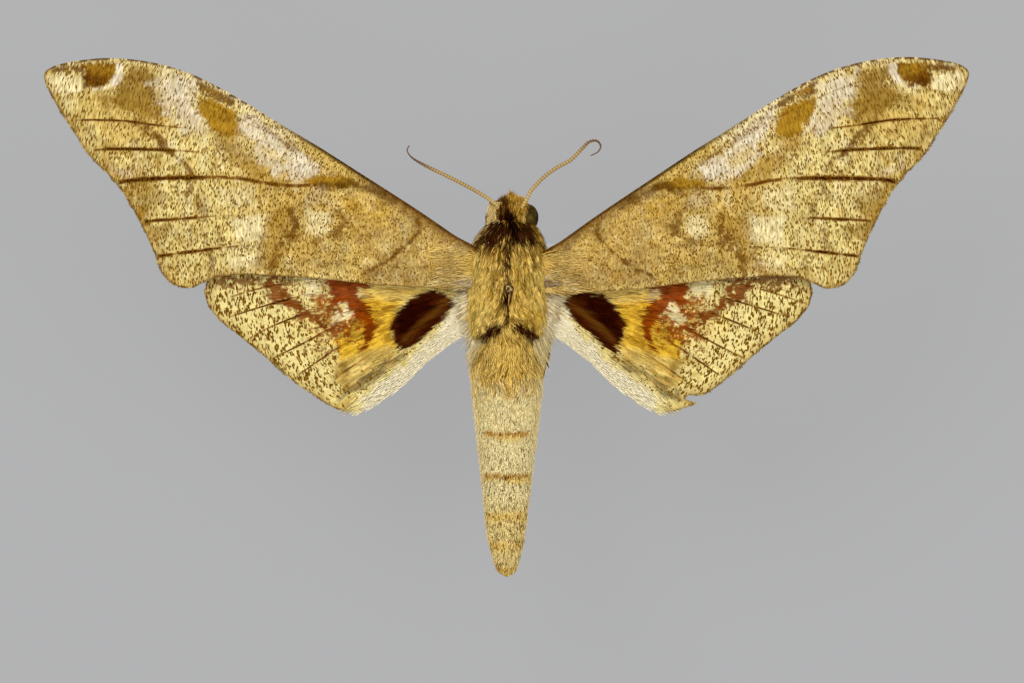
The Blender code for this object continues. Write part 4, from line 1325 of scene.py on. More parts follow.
    def thorax(self, finish: Material) -> None:
        """The thorax's fur: a dense lower layer, locks, single hairs over them, a ruff and the sides.

        Args:
            finish: The material.
        """
        draw = np.random.default_rng(21)
        count = self.thorax_count
        y, angle = draw.uniform(-4.6, 8.3, count), draw.uniform(-0.6, math.pi + 0.6, count)
        front = smooth_step(y, 5.5, 7.0)
        # The lower layer's light of 0.58 is painted shade under the locks.
        roots = Roots(
            y, angle, draw.uniform(1.2, 2.0, count) * (1 - 0.3 * front),
            self.spread(y, angle) + draw.normal(0, 0.05, count), draw.uniform(0.12, 0.45, count),
            draw.uniform(0.11, 0.18, count), np.full(count, 0.58),
        )
        self.lay("thorax_coat", self.trimmed(roots, draw), 22, finish, "thorax", True, deep=1.0)
        for name, locks, each, lift in (
            ("thorax_locks", self.lock_count, self.each_lock, 0.0),
            ("thorax_strands", self.strand_count, self.each_strand, 0.14),
        ):
            which = np.repeat(np.arange(locks), each)
            count = len(which)
            y, angle = draw.uniform(-4.2, 7.8, locks), draw.uniform(-0.3, math.pi + 0.3, locks)
            reach = draw.uniform(1.3, 2.7, locks) * (1 - 0.35 * smooth_step(y, 5.0, 7.0))
            turn = angle + self.spread(y, angle) + draw.normal(0, 0.08, locks)
            height = draw.uniform(0.3, 0.7, locks) + 0.3 * smooth_step(-y, -1.0, 3.4) + lift
            height *= 1 - 0.45 * smooth_step(y, 4.5, 7.0)
            root_y = y[which] + draw.normal(0, 0.22, count)
            root_angle = angle[which] + draw.normal(0, 0.045, count)
            length = np.maximum(root_y - (y - reach)[which] + draw.normal(0, 0.2, count), 0.5)
            roots = Roots(
                root_y, root_angle, length,
                turn[which] - root_angle + draw.normal(0, 0.02, count),
                height[which] + draw.uniform(-0.15, 0.1, count), draw.uniform(0.08, 0.14, count),
                np.exp(draw.normal(0.15, 0.4, locks))[which],
            )
            self.lay(name, self.trimmed(roots, draw), 24, finish, "thorax", True, deep=1.0, mixed=0.45)
        count = self.side_count
        y, angle = draw.uniform(-4.6, 7.6, count), -draw.uniform(0.3, math.pi - 0.3, count)
        roots = Roots(
            y, angle, draw.uniform(1.6, 2.4, count), draw.normal(0, 0.05, count),
            draw.uniform(0.2, 0.7, count), draw.uniform(0.2, 0.34, count), np.ones(count),
        )
        self.lay("thorax_under_coat", roots, 23, finish, "thorax")
        count = self.ruff_count
        y, angle = draw.uniform(4.2, 8.6, count), draw.uniform(-0.6, 0.75, count)
        angle = np.where(draw.random(count) < 0.5, angle, math.pi - angle)
        roots = Roots(
            y, angle, draw.uniform(0.8, 1.5, count), draw.normal(0, 0.06, count),
            draw.uniform(0.3, 0.85, count), draw.uniform(0.06, 0.11, count), np.ones(count),
        )
        self.lay("thorax_ruff", roots, 25, finish, "thorax", contrast=0.26)
        for side in Side:
            self.shoulder(side, finish)

    def shoulder(self, side: Side, finish: Material) -> None:
        """The hair that spreads from the thorax's side over the roots of both wings.

        Args:
            side: Which side.
            finish: The material.
        """
        draw = np.random.default_rng(26 if side is Side.LEFT else 27)
        count = self.shoulder_count
        y = draw.uniform(-5.8, 4.4, count) - draw.exponential(0.5, count)
        y = np.where((y > 1.0) & (draw.random(count) < 0.6), draw.uniform(-5.8, 0.8, count), y)
        back = smooth_step(-y, -3.0, 5.0)
        heading = np.radians(14 + 60 * back) + draw.normal(0, 0.16, count) * (2.2 - 1.2 * back)
        angle = draw.uniform(-0.1, 0.5, count)
        start = self.body.place(y, angle, np.full(count, -0.2), True)
        start[:, 0] = np.abs(start[:, 0])
        length = draw.uniform(0.8, 1.9, count) * draw.uniform(0.8, 2.2, count) * (0.85 + 0.3 * back)
        step = np.stack([np.cos(heading), -np.sin(heading)], 1)
        lift = draw.uniform(0.1, 0.55, count)
        steps = []
        for s in TUFT_STEPS:
            flat = start[:, :2] + step * (length * s)[:, None]
            over_hind = smooth_step(-flat[:, 1], -0.6, 0.2)
            floor = sheet_height(flat[:, 0], flat[:, 1]) - HINDWING_DROP * over_hind
            floor = blend(floor, start[:, 2] - 0.3, smooth_step(-flat[:, 1], 3.4, 5.0)) + 0.2
            z = np.maximum(floor + lift * (1 - 0.5 * s), blend(start[:, 2], floor, s)) if s else start[:, 2]
            steps.append(np.stack([flat[:, 0] * side.value, flat[:, 1], z], 1))
        ups = np.tile((0.3 * side.value, 0.0, 1.0), (count, 1))
        paint = picked((Tone.FUR_WHITE, Tone.FUR_WHITE, Tone.HEAD_PALE, Tone.ROSY_GREY), draw, count)
        waist = smooth_step(-y, 3.4, 5.0)[:, None] * 0.7
        paint = blend(paint, Tone.HEAD_PALE.linear(), waist)
        front = smooth_step(y, 1.2, 2.4)[:, None]
        tuft = np.where(draw.random((count, 1)) < 0.3, Tone.PALE_GOLD.linear(), Tone.THORAX_GOLD.linear())
        paint = blend(paint, tuft, front)
        tegula = np.exp(-(((y - 1.0) / 0.7) ** 2))[:, None] * (0.85 if side is Side.RIGHT else 0.5)
        paint = blend(paint, Tone.BROWN.linear(), tegula)
        fade = front[:, None] * (TUFT_STEPS**0.7 * 0.8)[None, :, None]
        paint = blend(paint[:, None], Tone.TAN.linear(), fade)
        widths = draw.uniform(0.07, 0.13, count) * (1 - 0.6 * waist[:, 0])
        paint = self.varied(paint, draw, 0.1, 0.25)
        shape = tufts(np.stack(steps, 1), ups, widths, paint, self.body.unwrap(y, angle), 0.25)
        shape.piece(f"shoulder_hair_{side.word}", finish, "thorax_fur", "thorax")

    def abdomen(self, finish: Material) -> None:
        """The abdomen's fur at its base and its flat scales further back.

        Args:
            finish: The material.
        """
        draw = np.random.default_rng(31)
        count = self.fur_count
        y, angle = -3.6 - 12.6 * draw.random(count) ** 1.25, draw.uniform(0, 2 * math.pi, count)
        calm = smooth_step(-y, 8.0, 15.0)
        roots = Roots(
            y, angle, draw.uniform(1.1, 2.3, count) * (1 - 0.4 * calm),
            Cloud(15).at(angle * 4, y, 2.0, 2) * 0.24 + draw.normal(0, 0.08, count),
            (draw.uniform(0.1, 0.5, count) + 0.12 * smooth_step(y, -8, -5)) * (1 - 0.65 * calm),
            draw.uniform(0.08, 0.15, count), np.exp(draw.normal(0.1, 0.3, count)),
        )
        self.lay("abdomen_fur", roots, 32, finish, "abdomen", deep=0.8, mixed=0.6)
        count = self.fringe_count
        y = draw.uniform(-30.0, -5.6, count)
        angle = np.where(draw.random(count) < 0.5, 0.0, math.pi) + draw.normal(0.0, 0.3, count)
        taper = 1 - 0.6 * smooth_step(-y, 8.0, 30.0)
        # Light 1.25: painted light that offsets the shade among the hairs.
        roots = Roots(
            y, angle, draw.uniform(0.9, 1.9, count) * taper, draw.normal(0, 0.1, count),
            draw.uniform(0.2, 0.7, count) * taper + 0.9 * np.exp(-(((y + 6.6) / 1.3) ** 2)),
            draw.uniform(0.05, 0.08, count), np.full(count, 1.25),
        )
        self.lay("abdomen_side_hair", roots, 35, finish, "abdomen", contrast=0.1, deep=0.2)
        count = self.scale_count
        for name, low, high, seed in (("front", -21.6, -12.4, 33), ("rear", -34.25, -21.4, 34)):
            y, angle = draw.uniform(low, high, count), draw.uniform(0, 2 * math.pi, count)
            loose = draw.random(count) < 0.16
            room = y + 34.65 - 0.35 * np.cos(angle) ** 2  # up to the abdomen's tip
            # Light 1.22: painted light that offsets the shade among the scales.
            roots = Roots(
                y, angle, np.minimum(draw.uniform(0.45, 0.8, count) * (1 + 0.7 * loose), room),
                draw.normal(0, 0.05, count), draw.uniform(0.05, 0.15, count) + 0.16 * loose,
                draw.uniform(0.1, 0.17, count) * (1 - 0.4 * loose), np.full(count, 1.22),
            )
            self.lay(
                f"abdomen_scales_{name}", roots, seed, finish, "abdomen",
                ridge=0.13, contrast=0.08, speck=0.5, deep=0.12, follow=1.0, mixed=0.12,
            )

    def face(self, finish: Material) -> None:
        """The head's tufts, which lean forward into a blunt cone.

        Args:
            finish: The material.
        """
        draw = np.random.default_rng(51)
        raw = unit(draw.normal(0, 1, (self.head_count, 3)))
        raw = raw[(raw[:, 1] > -0.45) & (raw[:, 2] > -0.75)]
        radii = np.array(self.head.radii)
        eye = np.array(self.head.eye_offset) / radii
        for way in (1, -1):
            raw = raw[np.linalg.norm(raw - unit(eye * (way, 1, 1)), axis=1) > 0.6]
        count = len(raw)
        length = draw.uniform(0.6, 1.2, count) * (1 - 0.35 * np.clip(-raw[:, 2], 0, 1))
        forward = np.array((0.0, 1.0, 0.0))
        tangent = forward - raw * raw[:, 1:2]
        tangent /= np.linalg.norm(tangent, axis=1)[:, None] + 1e-6
        tip = unit(np.array((0.0, 2.7, 0.5)) - raw * radii)
        lean = unit(tangent * 0.35 + tip * 0.9 + draw.normal(0, 0.2, (count, 3)))
        local = stepped(raw * (radii - 0.2), lean * length[:, None], raw * 0.8, (0.0, 0.28, 0.42, 0.45))
        paths = self.head.place(local)
        ups = raw @ self.head.turn().T
        paint = self.varied(self.colours(paths, ups), draw, 0.34, 0.9)
        angle = np.arctan2(raw[:, 2], raw[:, 0])
        widths = draw.uniform(0.06, 0.12, count)
        shape = tufts(paths, ups, widths, paint, self.body.unwrap(paths[:, 0, 1], angle), 0.35)
        shape.piece("head_coat", finish, "head_fur", "head")
        pale = (Tone.HEAD_PALE, Tone.HEAD_PALE, Tone.ROSY_GREY, Tone.TAN, Tone.HEAD_GOLD)
        self.cheek(Side.LEFT, 1.0, finish, pale)
        self.cheek(Side.RIGHT, 0.3, finish, (Tone.TAN, Tone.HEAD_GOLD, Tone.OLIVE))

    def cheek(self, side: Side, cover: float, finish: Material, tones: Sequence[Tone]) -> None:
        """Pale hair that sweeps back from a feeler's root over the eye.

        Args:
            side: Which side.
            cover: How far out over the eye it reaches.
            finish: The material.
            tones: The hairs' colours.
        """
        draw = np.random.default_rng(55 if side is Side.LEFT else 56)
        count = int(self.cheek_count * (0.05 + 0.95 * cover))
        down, out = draw.random(count), draw.random(count)
        start = np.stack([0.85 + (0.6 + cover) * out, 1.6 - 2.4 * down, 1.75 - 0.15 * out - 0.1 * down], 1)
        drift = 0.3 * cover * draw.random(count) - 0.05
        way = np.stack([drift, -0.95 + 0.1 * draw.random(count), np.full(count, -0.25)], 1)
        way += draw.normal(0, 0.1, (count, 3))
        length = draw.uniform(1.2, 2.5, count)[:, None]
        radii, offset = np.array(self.head.eye_radii), np.array(self.head.eye_offset)
        steps = []
        for s in TUFT_STEPS:
            place = start + way * length * s
            flat = ((place[:, :2] - offset[:2]) / radii[:2]) ** 2
            lid = offset[2] + radii[2] * np.sqrt(np.clip(1 - flat.sum(1), 0, 1)) + 0.08 + 0.1 * s
            place[:, 2] = np.where(flat.sum(1) < 1, np.maximum(place[:, 2], lid), place[:, 2])
            steps.append(self.head.place(place * (side.value, 1, 1)))
        paths = np.stack(steps, 1)
        paint = self.varied(graded(picked(tones, draw, count), 0.95, 1.05), draw, 0.15, 0.35)
        ups = np.tile((0.4 * side.value, 0.0, 1.0), (count, 1))
        where = self.body.unwrap(paths[:, 0, 1], np.full(count, math.pi / 2 - 0.7 * side.value))
        shape = tufts(paths, ups, draw.uniform(0.06, 0.11, count), paint, where, 0.3)
        shape.piece(f"cheek_hair_{side.word}", finish, "head_fur", "head")


# The wings


HINDWING_DROP = 1.35


def sheet_height(x: Array, y: Array) -> Array:
    """Height of the forewings' middle; the hindwings lie HINDWING_DROP below it."""
    out = np.abs(x) - ROOT_X
    return BODY_HEIGHT + 1.9 + 0.085 * out - 0.0006 * out * np.abs(out) + 0.02 * (y - 5.0)


FOREWING_OUTLINE = [
    (3.4, 4.2), (6.6, 6.4), (10.9, 9.4), (16.7, 13.2), (22.4, 16.9), (26.8, 19.6), (31.1, 22.3),
    (35.4, 24.8), (39.7, 26.6), (44.0, 27.6), (48.4, 27.9), (52.7, 27.4), (54.7, 26.8), (55.5, 25.9),
    (55.1, 24.4), (53.7, 21.7), (52.0, 19.0), (50.2, 16.2), (48.0, 13.9), (46.4, 12.0), (44.9, 9.5),
    (43.7, 7.1), (42.6, 4.6), (42.0, 2.8), (41.4, 1.6), (40.0, 0.5), (38.2, 0.2), (36.5, 0.9),
    (34.8, 1.5), (31.2, 1.7), (24.0, 1.3), (15.6, 0.4), (9.0, 0.0), (6.0, 0.0), (3.4, 0.4),
]
HINDWING_OUTLINE = [
    (3.4, 1.0), (6.5, 2.5), (12.0, 3.9), (20.0, 4.7), (28.0, 4.6), (33.0, 3.4), (35.8, 1.7), (36.6, 0.3),
    (36.5, -0.9), (35.9, -2.3), (34.6, -3.8), (33.1, -5.0), (31.0, -6.7), (28.3, -9.0), (25.7, -11.2),
    (23.4, -12.7), (21.6, -13.9), (19.6, -14.6), (17.6, -14.4), (15.8, -13.7), (13.8, -12.3),
    (12.0, -10.9), (10.4, -9.3), (8.8, -7.8), (7.0, -6.5), (5.2, -5.2), (3.4, -4.0),
]
INNER_EDGE = [(4.2, -3.6), (8.5, -6.4), (11.3, -9.0), (14.5, -12.2), (17.5, -14.2)]  # the hindwing's hem
VEIN_STAIN = np.array((0.075, 0.022, 0.006))  # what a dark vein leaves of red, green and blue
TORN_AFTER = (25.7, -11.2)
TORN_BEFORE = (19.6, -14.6)
TORN_EDGE = [(23.7, -12.5), (21.5, -12.7), (21.4, -13.2), (22.6, -13.6), (21.2, -14.2)]


@dataclass(frozen=True)
class Vein:
    """A vein: its line, its ridge, and how dark it shows at its two ends and where it is darkest."""

    points: Line
    dark: Triple = (0.15, 0.5, 0.8)
    width: float = 0.2


FOREWING_VEINS = [
    Vein([(3.7, 3.9), (5.6, 5.0), (14.4, 11.1), (25.2, 17.8), (30.6, 21.1)], (0.3, 0.25, 0.2)),
    Vein([(3.7, 3.3), (5.6, 4.4), (14.4, 10.0), (22.2, 14.9), (30.0, 19.4), (36.0, 22.5), (42.0, 24.9),
          (48.0, 26.2)], (0.25, 0.3, 0.3)),
    Vein([(36.0, 22.5), (42.0, 23.6), (48.0, 24.0), (53.6, 23.8)], (0.15, 0.2, 0.3)),
    Vein([(24.8, 16.4), (30.0, 18.0), (35.2, 19.1), (41.2, 19.7), (46.5, 20.4), (51.6, 20.5)],
         (0.25, 0.6, 0.7), 0.24),
    Vein([(24.2, 14.6), (28.8, 15.7), (34.2, 16.3), (40.7, 16.8), (47.1, 17.0), (49.4, 16.9)],
         (0.05, 0.8, 0.95), 0.26),
    Vein([(23.2, 12.5), (26.0, 12.4), (29.4, 12.8), (32.1, 13.3), (36.7, 13.5), (44.2, 13.3), (46.4, 13.0)],
         (0.5, 1.0, 0.95), 0.42),
    Vein([(25.0, 16.6), (24.2, 14.6), (23.2, 12.5)], (0.1, 0.1, 0.1)),
    Vein([(3.7, 2.7), (5.6, 3.7), (10.8, 6.7), (15.0, 9.0), (19.8, 10.9), (23.2, 12.5)], (0.1, 0.15, 0.3)),
    Vein([(19.8, 10.9), (25.2, 9.8), (31.2, 9.1), (37.0, 8.7), (43.4, 8.3)], (0.1, 0.35, 1.0), 0.26),
    Vein([(15.0, 9.0), (21.6, 7.0), (27.6, 5.7), (34.6, 5.0), (41.8, 4.1)], (0.1, 0.4, 1.0), 0.26),
    Vein([(3.7, 2.0), (5.6, 2.4), (14.4, 2.7), (24.0, 3.4), (30.1, 3.7), (35.6, 2.2)], (0.1, 0.2, 0.3)),
]
HINDWING_VEINS = [
    Vein([(3.7, -0.5), (5.8, 0.5), (14.4, 3.0), (26.4, 3.5), (34.2, 2.2)], (0.0, 0.1, 0.2)),
    Vein([(3.7, -1.2), (5.8, -0.6), (10.0, 0.4), (15.6, 1.3), (24.0, 1.2), (30.0, 0.2), (35.5, -1.5)],
         (0.0, 0.2, 0.5)),
    Vein([(15.6, 1.3), (22.8, -0.1), (28.4, -1.6), (33.6, -3.2)], (0.1, 0.7, 0.6)),
    Vein([(16.2, 0.0), (22.2, -1.9), (28.4, -4.3), (31.0, -5.7)], (0.1, 0.8, 0.6)),
    Vein([(15.9, -1.2), (18.4, -2.5), (23.5, -5.7), (28.2, -8.1)], (0.1, 0.9, 0.6)),
    Vein([(15.6, 1.3), (16.2, 0.0), (15.9, -1.2)], (0.0, 0.1, 0.0)),
    Vein([(3.7, -1.8), (5.8, -1.6), (10.0, -2.0), (15.9, -1.2)], (0.0, 0.1, 0.1)),
    Vein([(10.0, -2.0), (14.2, -3.4), (20.2, -6.7), (25.2, -10.1)], (0.1, 0.4, 0.7)),
    Vein([(3.7, -2.4), (5.8, -2.5), (9.6, -3.6), (16.2, -7.4), (22.3, -11.6)], (0.1, 0.3, 0.5)),
    Vein([(3.7, -3.0), (5.8, -3.6), (10.2, -6.2), (13.7, -8.7), (19.3, -12.4)], (0.1, 0.2, 0.3)),
]

FOREWING_MARKS = [
    # The inner half is tan and straw, the outer half lemon
    Mark(Tone.STRAW, [(3, 0), (3, 6), (24, 19), (33, 17), (31, 9), (28, 1)], soft=7, strength=1, ragged=1,
        grain=5),
    Mark(Tone.TAN, [(3, -1), (3, 6), (19, 15.5), (20, 10), (17, 0)], soft=4, strength=0.85, ragged=0.8,
        fleck=0.36, grain=4),
    Mark(Tone.GOLD, [(21.2, 11.6), (15.1, 10.5), (13.5, 8.9), (15.3, 7.9), (19.5, 9.4)], soft=2,
        strength=0.3),
    Mark(Tone.MAUVE, [(15.4, 4.3), (12.4, 3.1), (5.8, 3), (5.6, 0.2), (13, 0.2), (17.6, 0.9)], soft=1.6,
        strength=0.5, ragged=0.6),
    Mark(Tone.MAUVE, [(25, 6.2), (20, 4.6), (19, 1.6), (27, 1.4)], soft=2, strength=0.3, ragged=0.7),
    Mark(Tone.TAN, [(30, 13), (20, 12.6), (20, 9.6), (29, 9.6)], soft=2, strength=0.4, ragged=0.7),
    Mark(Tone.CREAM, [(33.2, 8.7), (29, 9), (28.8, 5.9), (33.1, 5.4)], soft=1, fleck=0.2),
    Mark(Tone.CREAM, [(33.5, 4), (29.5, 4.2), (29.6, 2.5), (33.5, 2.3)], soft=1, strength=0.8, fleck=0.3),
    Mark(Tone.CREAM, [(34.5, 12.3), (30.5, 12.3), (30.4, 10), (34.4, 9.8)], soft=1, strength=0.6,
        fleck=0.35),
    # Towards the tip and the costa
    Mark(Tone.STRAW, [(50.9, 23.8), (42, 24.4), (39.6, 20.4), (41.4, 18.6), (47, 17.6), (50.6, 19.8)],
        soft=1.6, strength=0.8, ragged=0.6, fleck=0.6),
    Mark(Tone.OLIVE, [(46, 26.9), (41.7, 26.6), (41.6, 23.6), (40.4, 21.6), (41.8, 20.4), (46.4, 21.2),
        (48.6, 23.2), (46.6, 24.3)], soft=1.8, strength=0.85, ragged=0.8, fleck=0.5),
    Mark(Tone.CREAM, [(55.3, 25.7), (54, 26.3), (52.6, 25.9), (51.2, 25.4), (51, 24.1), (53.2, 23.5),
        (54.6, 23.8)], soft=0.4, strength=1, ragged=0.2, fleck=0.45),
    Mark(Tone.BROWN, [(50.8, 27), (46.9, 27.3), (46.8, 26.2), (47.4, 25.2), (48.3, 24.6), (50.7, 24.2)],
        soft=0.5, strength=1, fleck=0.7, grain=0.6),
    Mark(Tone.OCHRE, [(50, 27), (48.6, 26.6), (47.4, 26.3)], width=1.2, soft=1.4, strength=0.95, ragged=0.4,
        grain=0.5),
    Mark(Tone.DARK_BROWN, [(50.5, 25.3), (49, 24.9)], width=0.5, soft=1.1, ragged=0.4, grain=0.5),
    Mark(Tone.BROWN, [(54, 26.7), (52.6, 26.9), (51, 26.6)], width=0.8, soft=0.5, ragged=0.4, grain=0.5),
    Mark(Tone.DARK_BROWN, [(50.85, 27), (50.9, 24)], width=0.16, soft=0.2, strength=0.6, ragged=0),
    Mark(Tone.WHITE, [(46.4, 26.9), (46.5, 25.9), (47, 25.1)], width=0.95, soft=0.3, strength=1, ragged=0.12,
        fleck=0.3),
    Mark(Tone.WHITE, [(47.1, 24.9), (48, 24.4), (49.6, 24.1)], width=0.35, soft=0.3, strength=0.8,
        ragged=0.12, fleck=0.2),
    Mark(Tone.WHITE, [(41.5, 26.4), (36.7, 25), (37.3, 23.2), (37.1, 21.6), (35.7, 19.2), (38.1, 18.6),
        (40.1, 20.6), (40.7, 22.4), (41.5, 23.2), (41.9, 24.6)], soft=2.2, ragged=0.9, fleck=0.45),
    Mark(Tone.ROSY_GREY, [(39.6, 22.4), (38.6, 20.4), (36.8, 19.4)], width=1.4, soft=1.2, strength=0.5,
        fleck=0.5),
    Mark(Tone.OCHRE, [(37.1, 23.4), (35.1, 23), (33.3, 22), (32.5, 21.2), (32, 18.6), (33.8, 18.4),
        (35.5, 19), (36.1, 20.6), (37.1, 21.8)], soft=0.5, strength=1, fleck=0.3),
    Mark(Tone.OCHRE, [(34.6, 18.6), (33.3, 17.2), (31.7, 15.6), (29.8, 14.4), (28, 13.8)], width=2.3,
        soft=1.6, strength=0.62, ragged=0.7, fleck=0.4),
    Mark(Tone.BROWN, [(34.6, 17.6), (32.6, 16.6)], width=0.9, soft=1, strength=0.4, ragged=0.6, grain=0.6),
    Mark(Tone.WHITE, [(33, 22.7), (31.8, 21.4), (32.1, 20.6), (31.8, 19.2), (30.9, 18), (30, 15.6),
        (27.9, 14), (25.5, 13.5), (24.4, 13.2), (22.4, 14), (22.6, 14.9), (24.1, 15.8), (26.1, 16.7),
        (27, 18.3), (28.5, 19.8), (30.9, 21.6)], soft=1.3, ragged=0.6, fleck=0.38),
    Mark(Tone.STRAW, [(29.2, 16.8), (28.2, 16), (27, 15.5)], width=1.3, soft=1, strength=0.6),
    Mark(Tone.CREAM, [(32.6, 22.8), (25.5, 18.6), (24.4, 16.8), (27.6, 19), (30.4, 21)], soft=1,
        strength=0.7, ragged=0.4, fleck=0.7),
    Mark(Tone.BROWN, [(31.6, 20.8), (28.6, 18.9), (25.6, 17), (23, 15.4)], width=0.35, soft=0.5,
        strength=0.5, ragged=0.5, fleck=0.9, grain=0.5),
    Mark(Tone.STRAW, [(25.6, 19), (17.8, 14.1), (17.8, 12.7), (20.6, 13.3), (22.5, 15.2), (24.2, 16.4)],
        soft=0.9, fleck=0.75),
    Mark(Tone.WHITE, [(24.9, 15.8), (24.4, 14.6), (24.1, 13.6)], width=0.9, soft=0.6, strength=1),
    Mark(Tone.BROWN, [(37.2, 25.4), (33.1, 23.6), (32.2, 21.9), (33.5, 22.2), (35.1, 23.2), (37.2, 23.7)],
        soft=0.5, ragged=0.45, fleck=0.7, grain=0.6),
    Mark(Tone.OCHRE, [(36.3, 24.2), (35, 23.6)], width=0.5, soft=0.4, strength=0.6, grain=0.4),
    Mark(Tone.OCHRE, [(24.5, 13.1), (22.7, 13.6), (20.7, 13.7), (18.7, 13.2), (17.4, 12.4), (20.4, 12.1),
        (22.3, 12), (23.8, 12.6)], soft=0.5, strength=1, ragged=0.25, fleck=0.3),
    Mark(Tone.DARK_BROWN, [(22.3, 12.4), (20.5, 12.5), (18.7, 12.7), (16.6, 11.9), (13.9, 10.5)], width=0.8,
        strength=0.75, ragged=0.35),
    # Lines and spots
    Mark(Tone.BROWN, [(11, 8.3), (10.7, 7.4), (10.8, 6.7), (11.4, 6.1), (12.2, 5.2), (13.6, 4.1),
        (14.7, 3.1), (16.7, 2.3), (17.6, 1.6), (18.2, 0.9)], width=0.4, soft=0.4, strength=0.92, ragged=0.18,
        grain=0.8),
    Mark(Tone.OCHRE, [(19.8, 10.8), (16.8, 10.2), (17.6, 8.9), (19.6, 9)], soft=1.4, strength=0.45,
        ragged=0.5),
    Mark(Tone.ROSY_GREY, [(24.6, 12.2), (22, 12), (21.6, 10.4), (24.2, 10)], soft=1, strength=0.6),
    Mark(Tone.CREAM, [(24.1, 9.4), (21.2, 9.3), (21.4, 7), (22.8, 6.3), (24.3, 7.3)], soft=0.7, strength=0.7,
        fleck=0.4),
    Mark(Tone.BROWN, [(20.4, 9.1), (20, 8.2), (20.2, 7.4)], width=1.1, soft=0.9, strength=0.7, ragged=0.6,
        fleck=0.9, grain=0.5),
    Mark(Tone.BROWN, [(20.4, 7), (21.4, 6.3), (23, 5.8)], width=0.5, soft=0.6, strength=0.6),
    Mark(Tone.OCHRE, [(26.2, 9.8), (25.2, 8.6), (26.6, 6), (28, 2.2), (30.6, 2.2), (29.8, 5.6), (28.6, 9.6)],
        soft=0.9, strength=0.62, ragged=0.7),
    Mark(Tone.BROWN, [(25.8, 9.2), (25.4, 7.7), (26.7, 5.9), (27.9, 4.2), (28.4, 2.4)], width=0.7,
        strength=0.85, ragged=0.5, fleck=0.9, grain=0.6),
    Mark(Tone.BROWN, [(26.6, 6.8), (25.6, 5.8)], width=1, strength=0.6, ragged=0.5, grain=0.5),
    Mark(Tone.BROWN, [(28.5, 8.8), (29.3, 6.4), (30.1, 4.2), (30.3, 2.6)], width=0.4, soft=0.5, strength=0.4,
        grain=0.8),
    Mark(Tone.BROWN, [(43.3, 19.6), (41.7, 18.3), (41.5, 17.1), (40.2, 16.3), (38.8, 15.3), (38, 14.2),
        (37.9, 13.5)], width=0.4, soft=0.5, strength=0.8, ragged=0.2, grain=0.8),
    Mark(Tone.BROWN, [(38.2, 13.4), (38, 12.6), (38.7, 11)], width=0.7, soft=0.7, strength=0.6, ragged=0.4,
        fleck=1, grain=0.6),
    Mark(Tone.BROWN, [(37.2, 10.9), (36.5, 9.8), (36.7, 8.7)], width=0.7, soft=0.7, strength=0.6, ragged=0.4,
        fleck=1, grain=0.6),
    Mark(Tone.BROWN, [(36.3, 8.4), (34.9, 7.5), (34.6, 6.4), (34.8, 5.1)], width=0.4, soft=0.5, strength=0.4,
        ragged=0.25, grain=0.8),
    Mark(Tone.BROWN, [(38.1, 7.6), (38, 6.4), (38.3, 5)], width=0.6, soft=0.7, strength=0.5, ragged=0.4,
        fleck=1, grain=0.6),
    Mark(Tone.OCHRE, [(47.2, 14.4), (44, 14.6), (43.6, 12.9), (45.6, 12)], soft=1.4, strength=0.6,
        ragged=0.9, fleck=1),
    Mark(Tone.OCHRE, [(45.2, 10.6), (43.6, 10.4), (43, 8.9), (43.8, 8)], soft=1, strength=0.6, ragged=0.5),
    Mark(Tone.BROWN, [(36.2, 4.4), (35.3, 3.4), (35.9, 2.2)], width=0.45, soft=0.4, strength=0.65,
        ragged=0.2, grain=0.8),
    Mark(Tone.BROWN, [(44.3, 20.2), (43.3, 18.7), (41.8, 18), (40.4, 16.2)], width=0.6, soft=0.6,
        strength=0.75, ragged=0.4, fleck=1, grain=0.6),
    Mark(Tone.OLIVE, [(46.2, 12.6), (43.4, 12.6), (41.2, 11.6), (42, 10.1), (43.2, 8.5), (44.6, 9.4)],
        soft=1.4, strength=0.6, ragged=0.6),
    Mark(Tone.OLIVE, [(43.6, 8), (40.4, 7.7), (40.8, 6.5), (43, 6)], soft=1, strength=0.65, ragged=0.5),
    Mark(Tone.OLIVE, [(51.5, 20.6), (49.6, 18.2), (48.2, 17.2)], width=1.2, soft=1.4, strength=0.35),
    Mark(Tone.WHITE, [(47.3, 14.8), (45.3, 14.1)], width=0.9, strength=0.35),
]
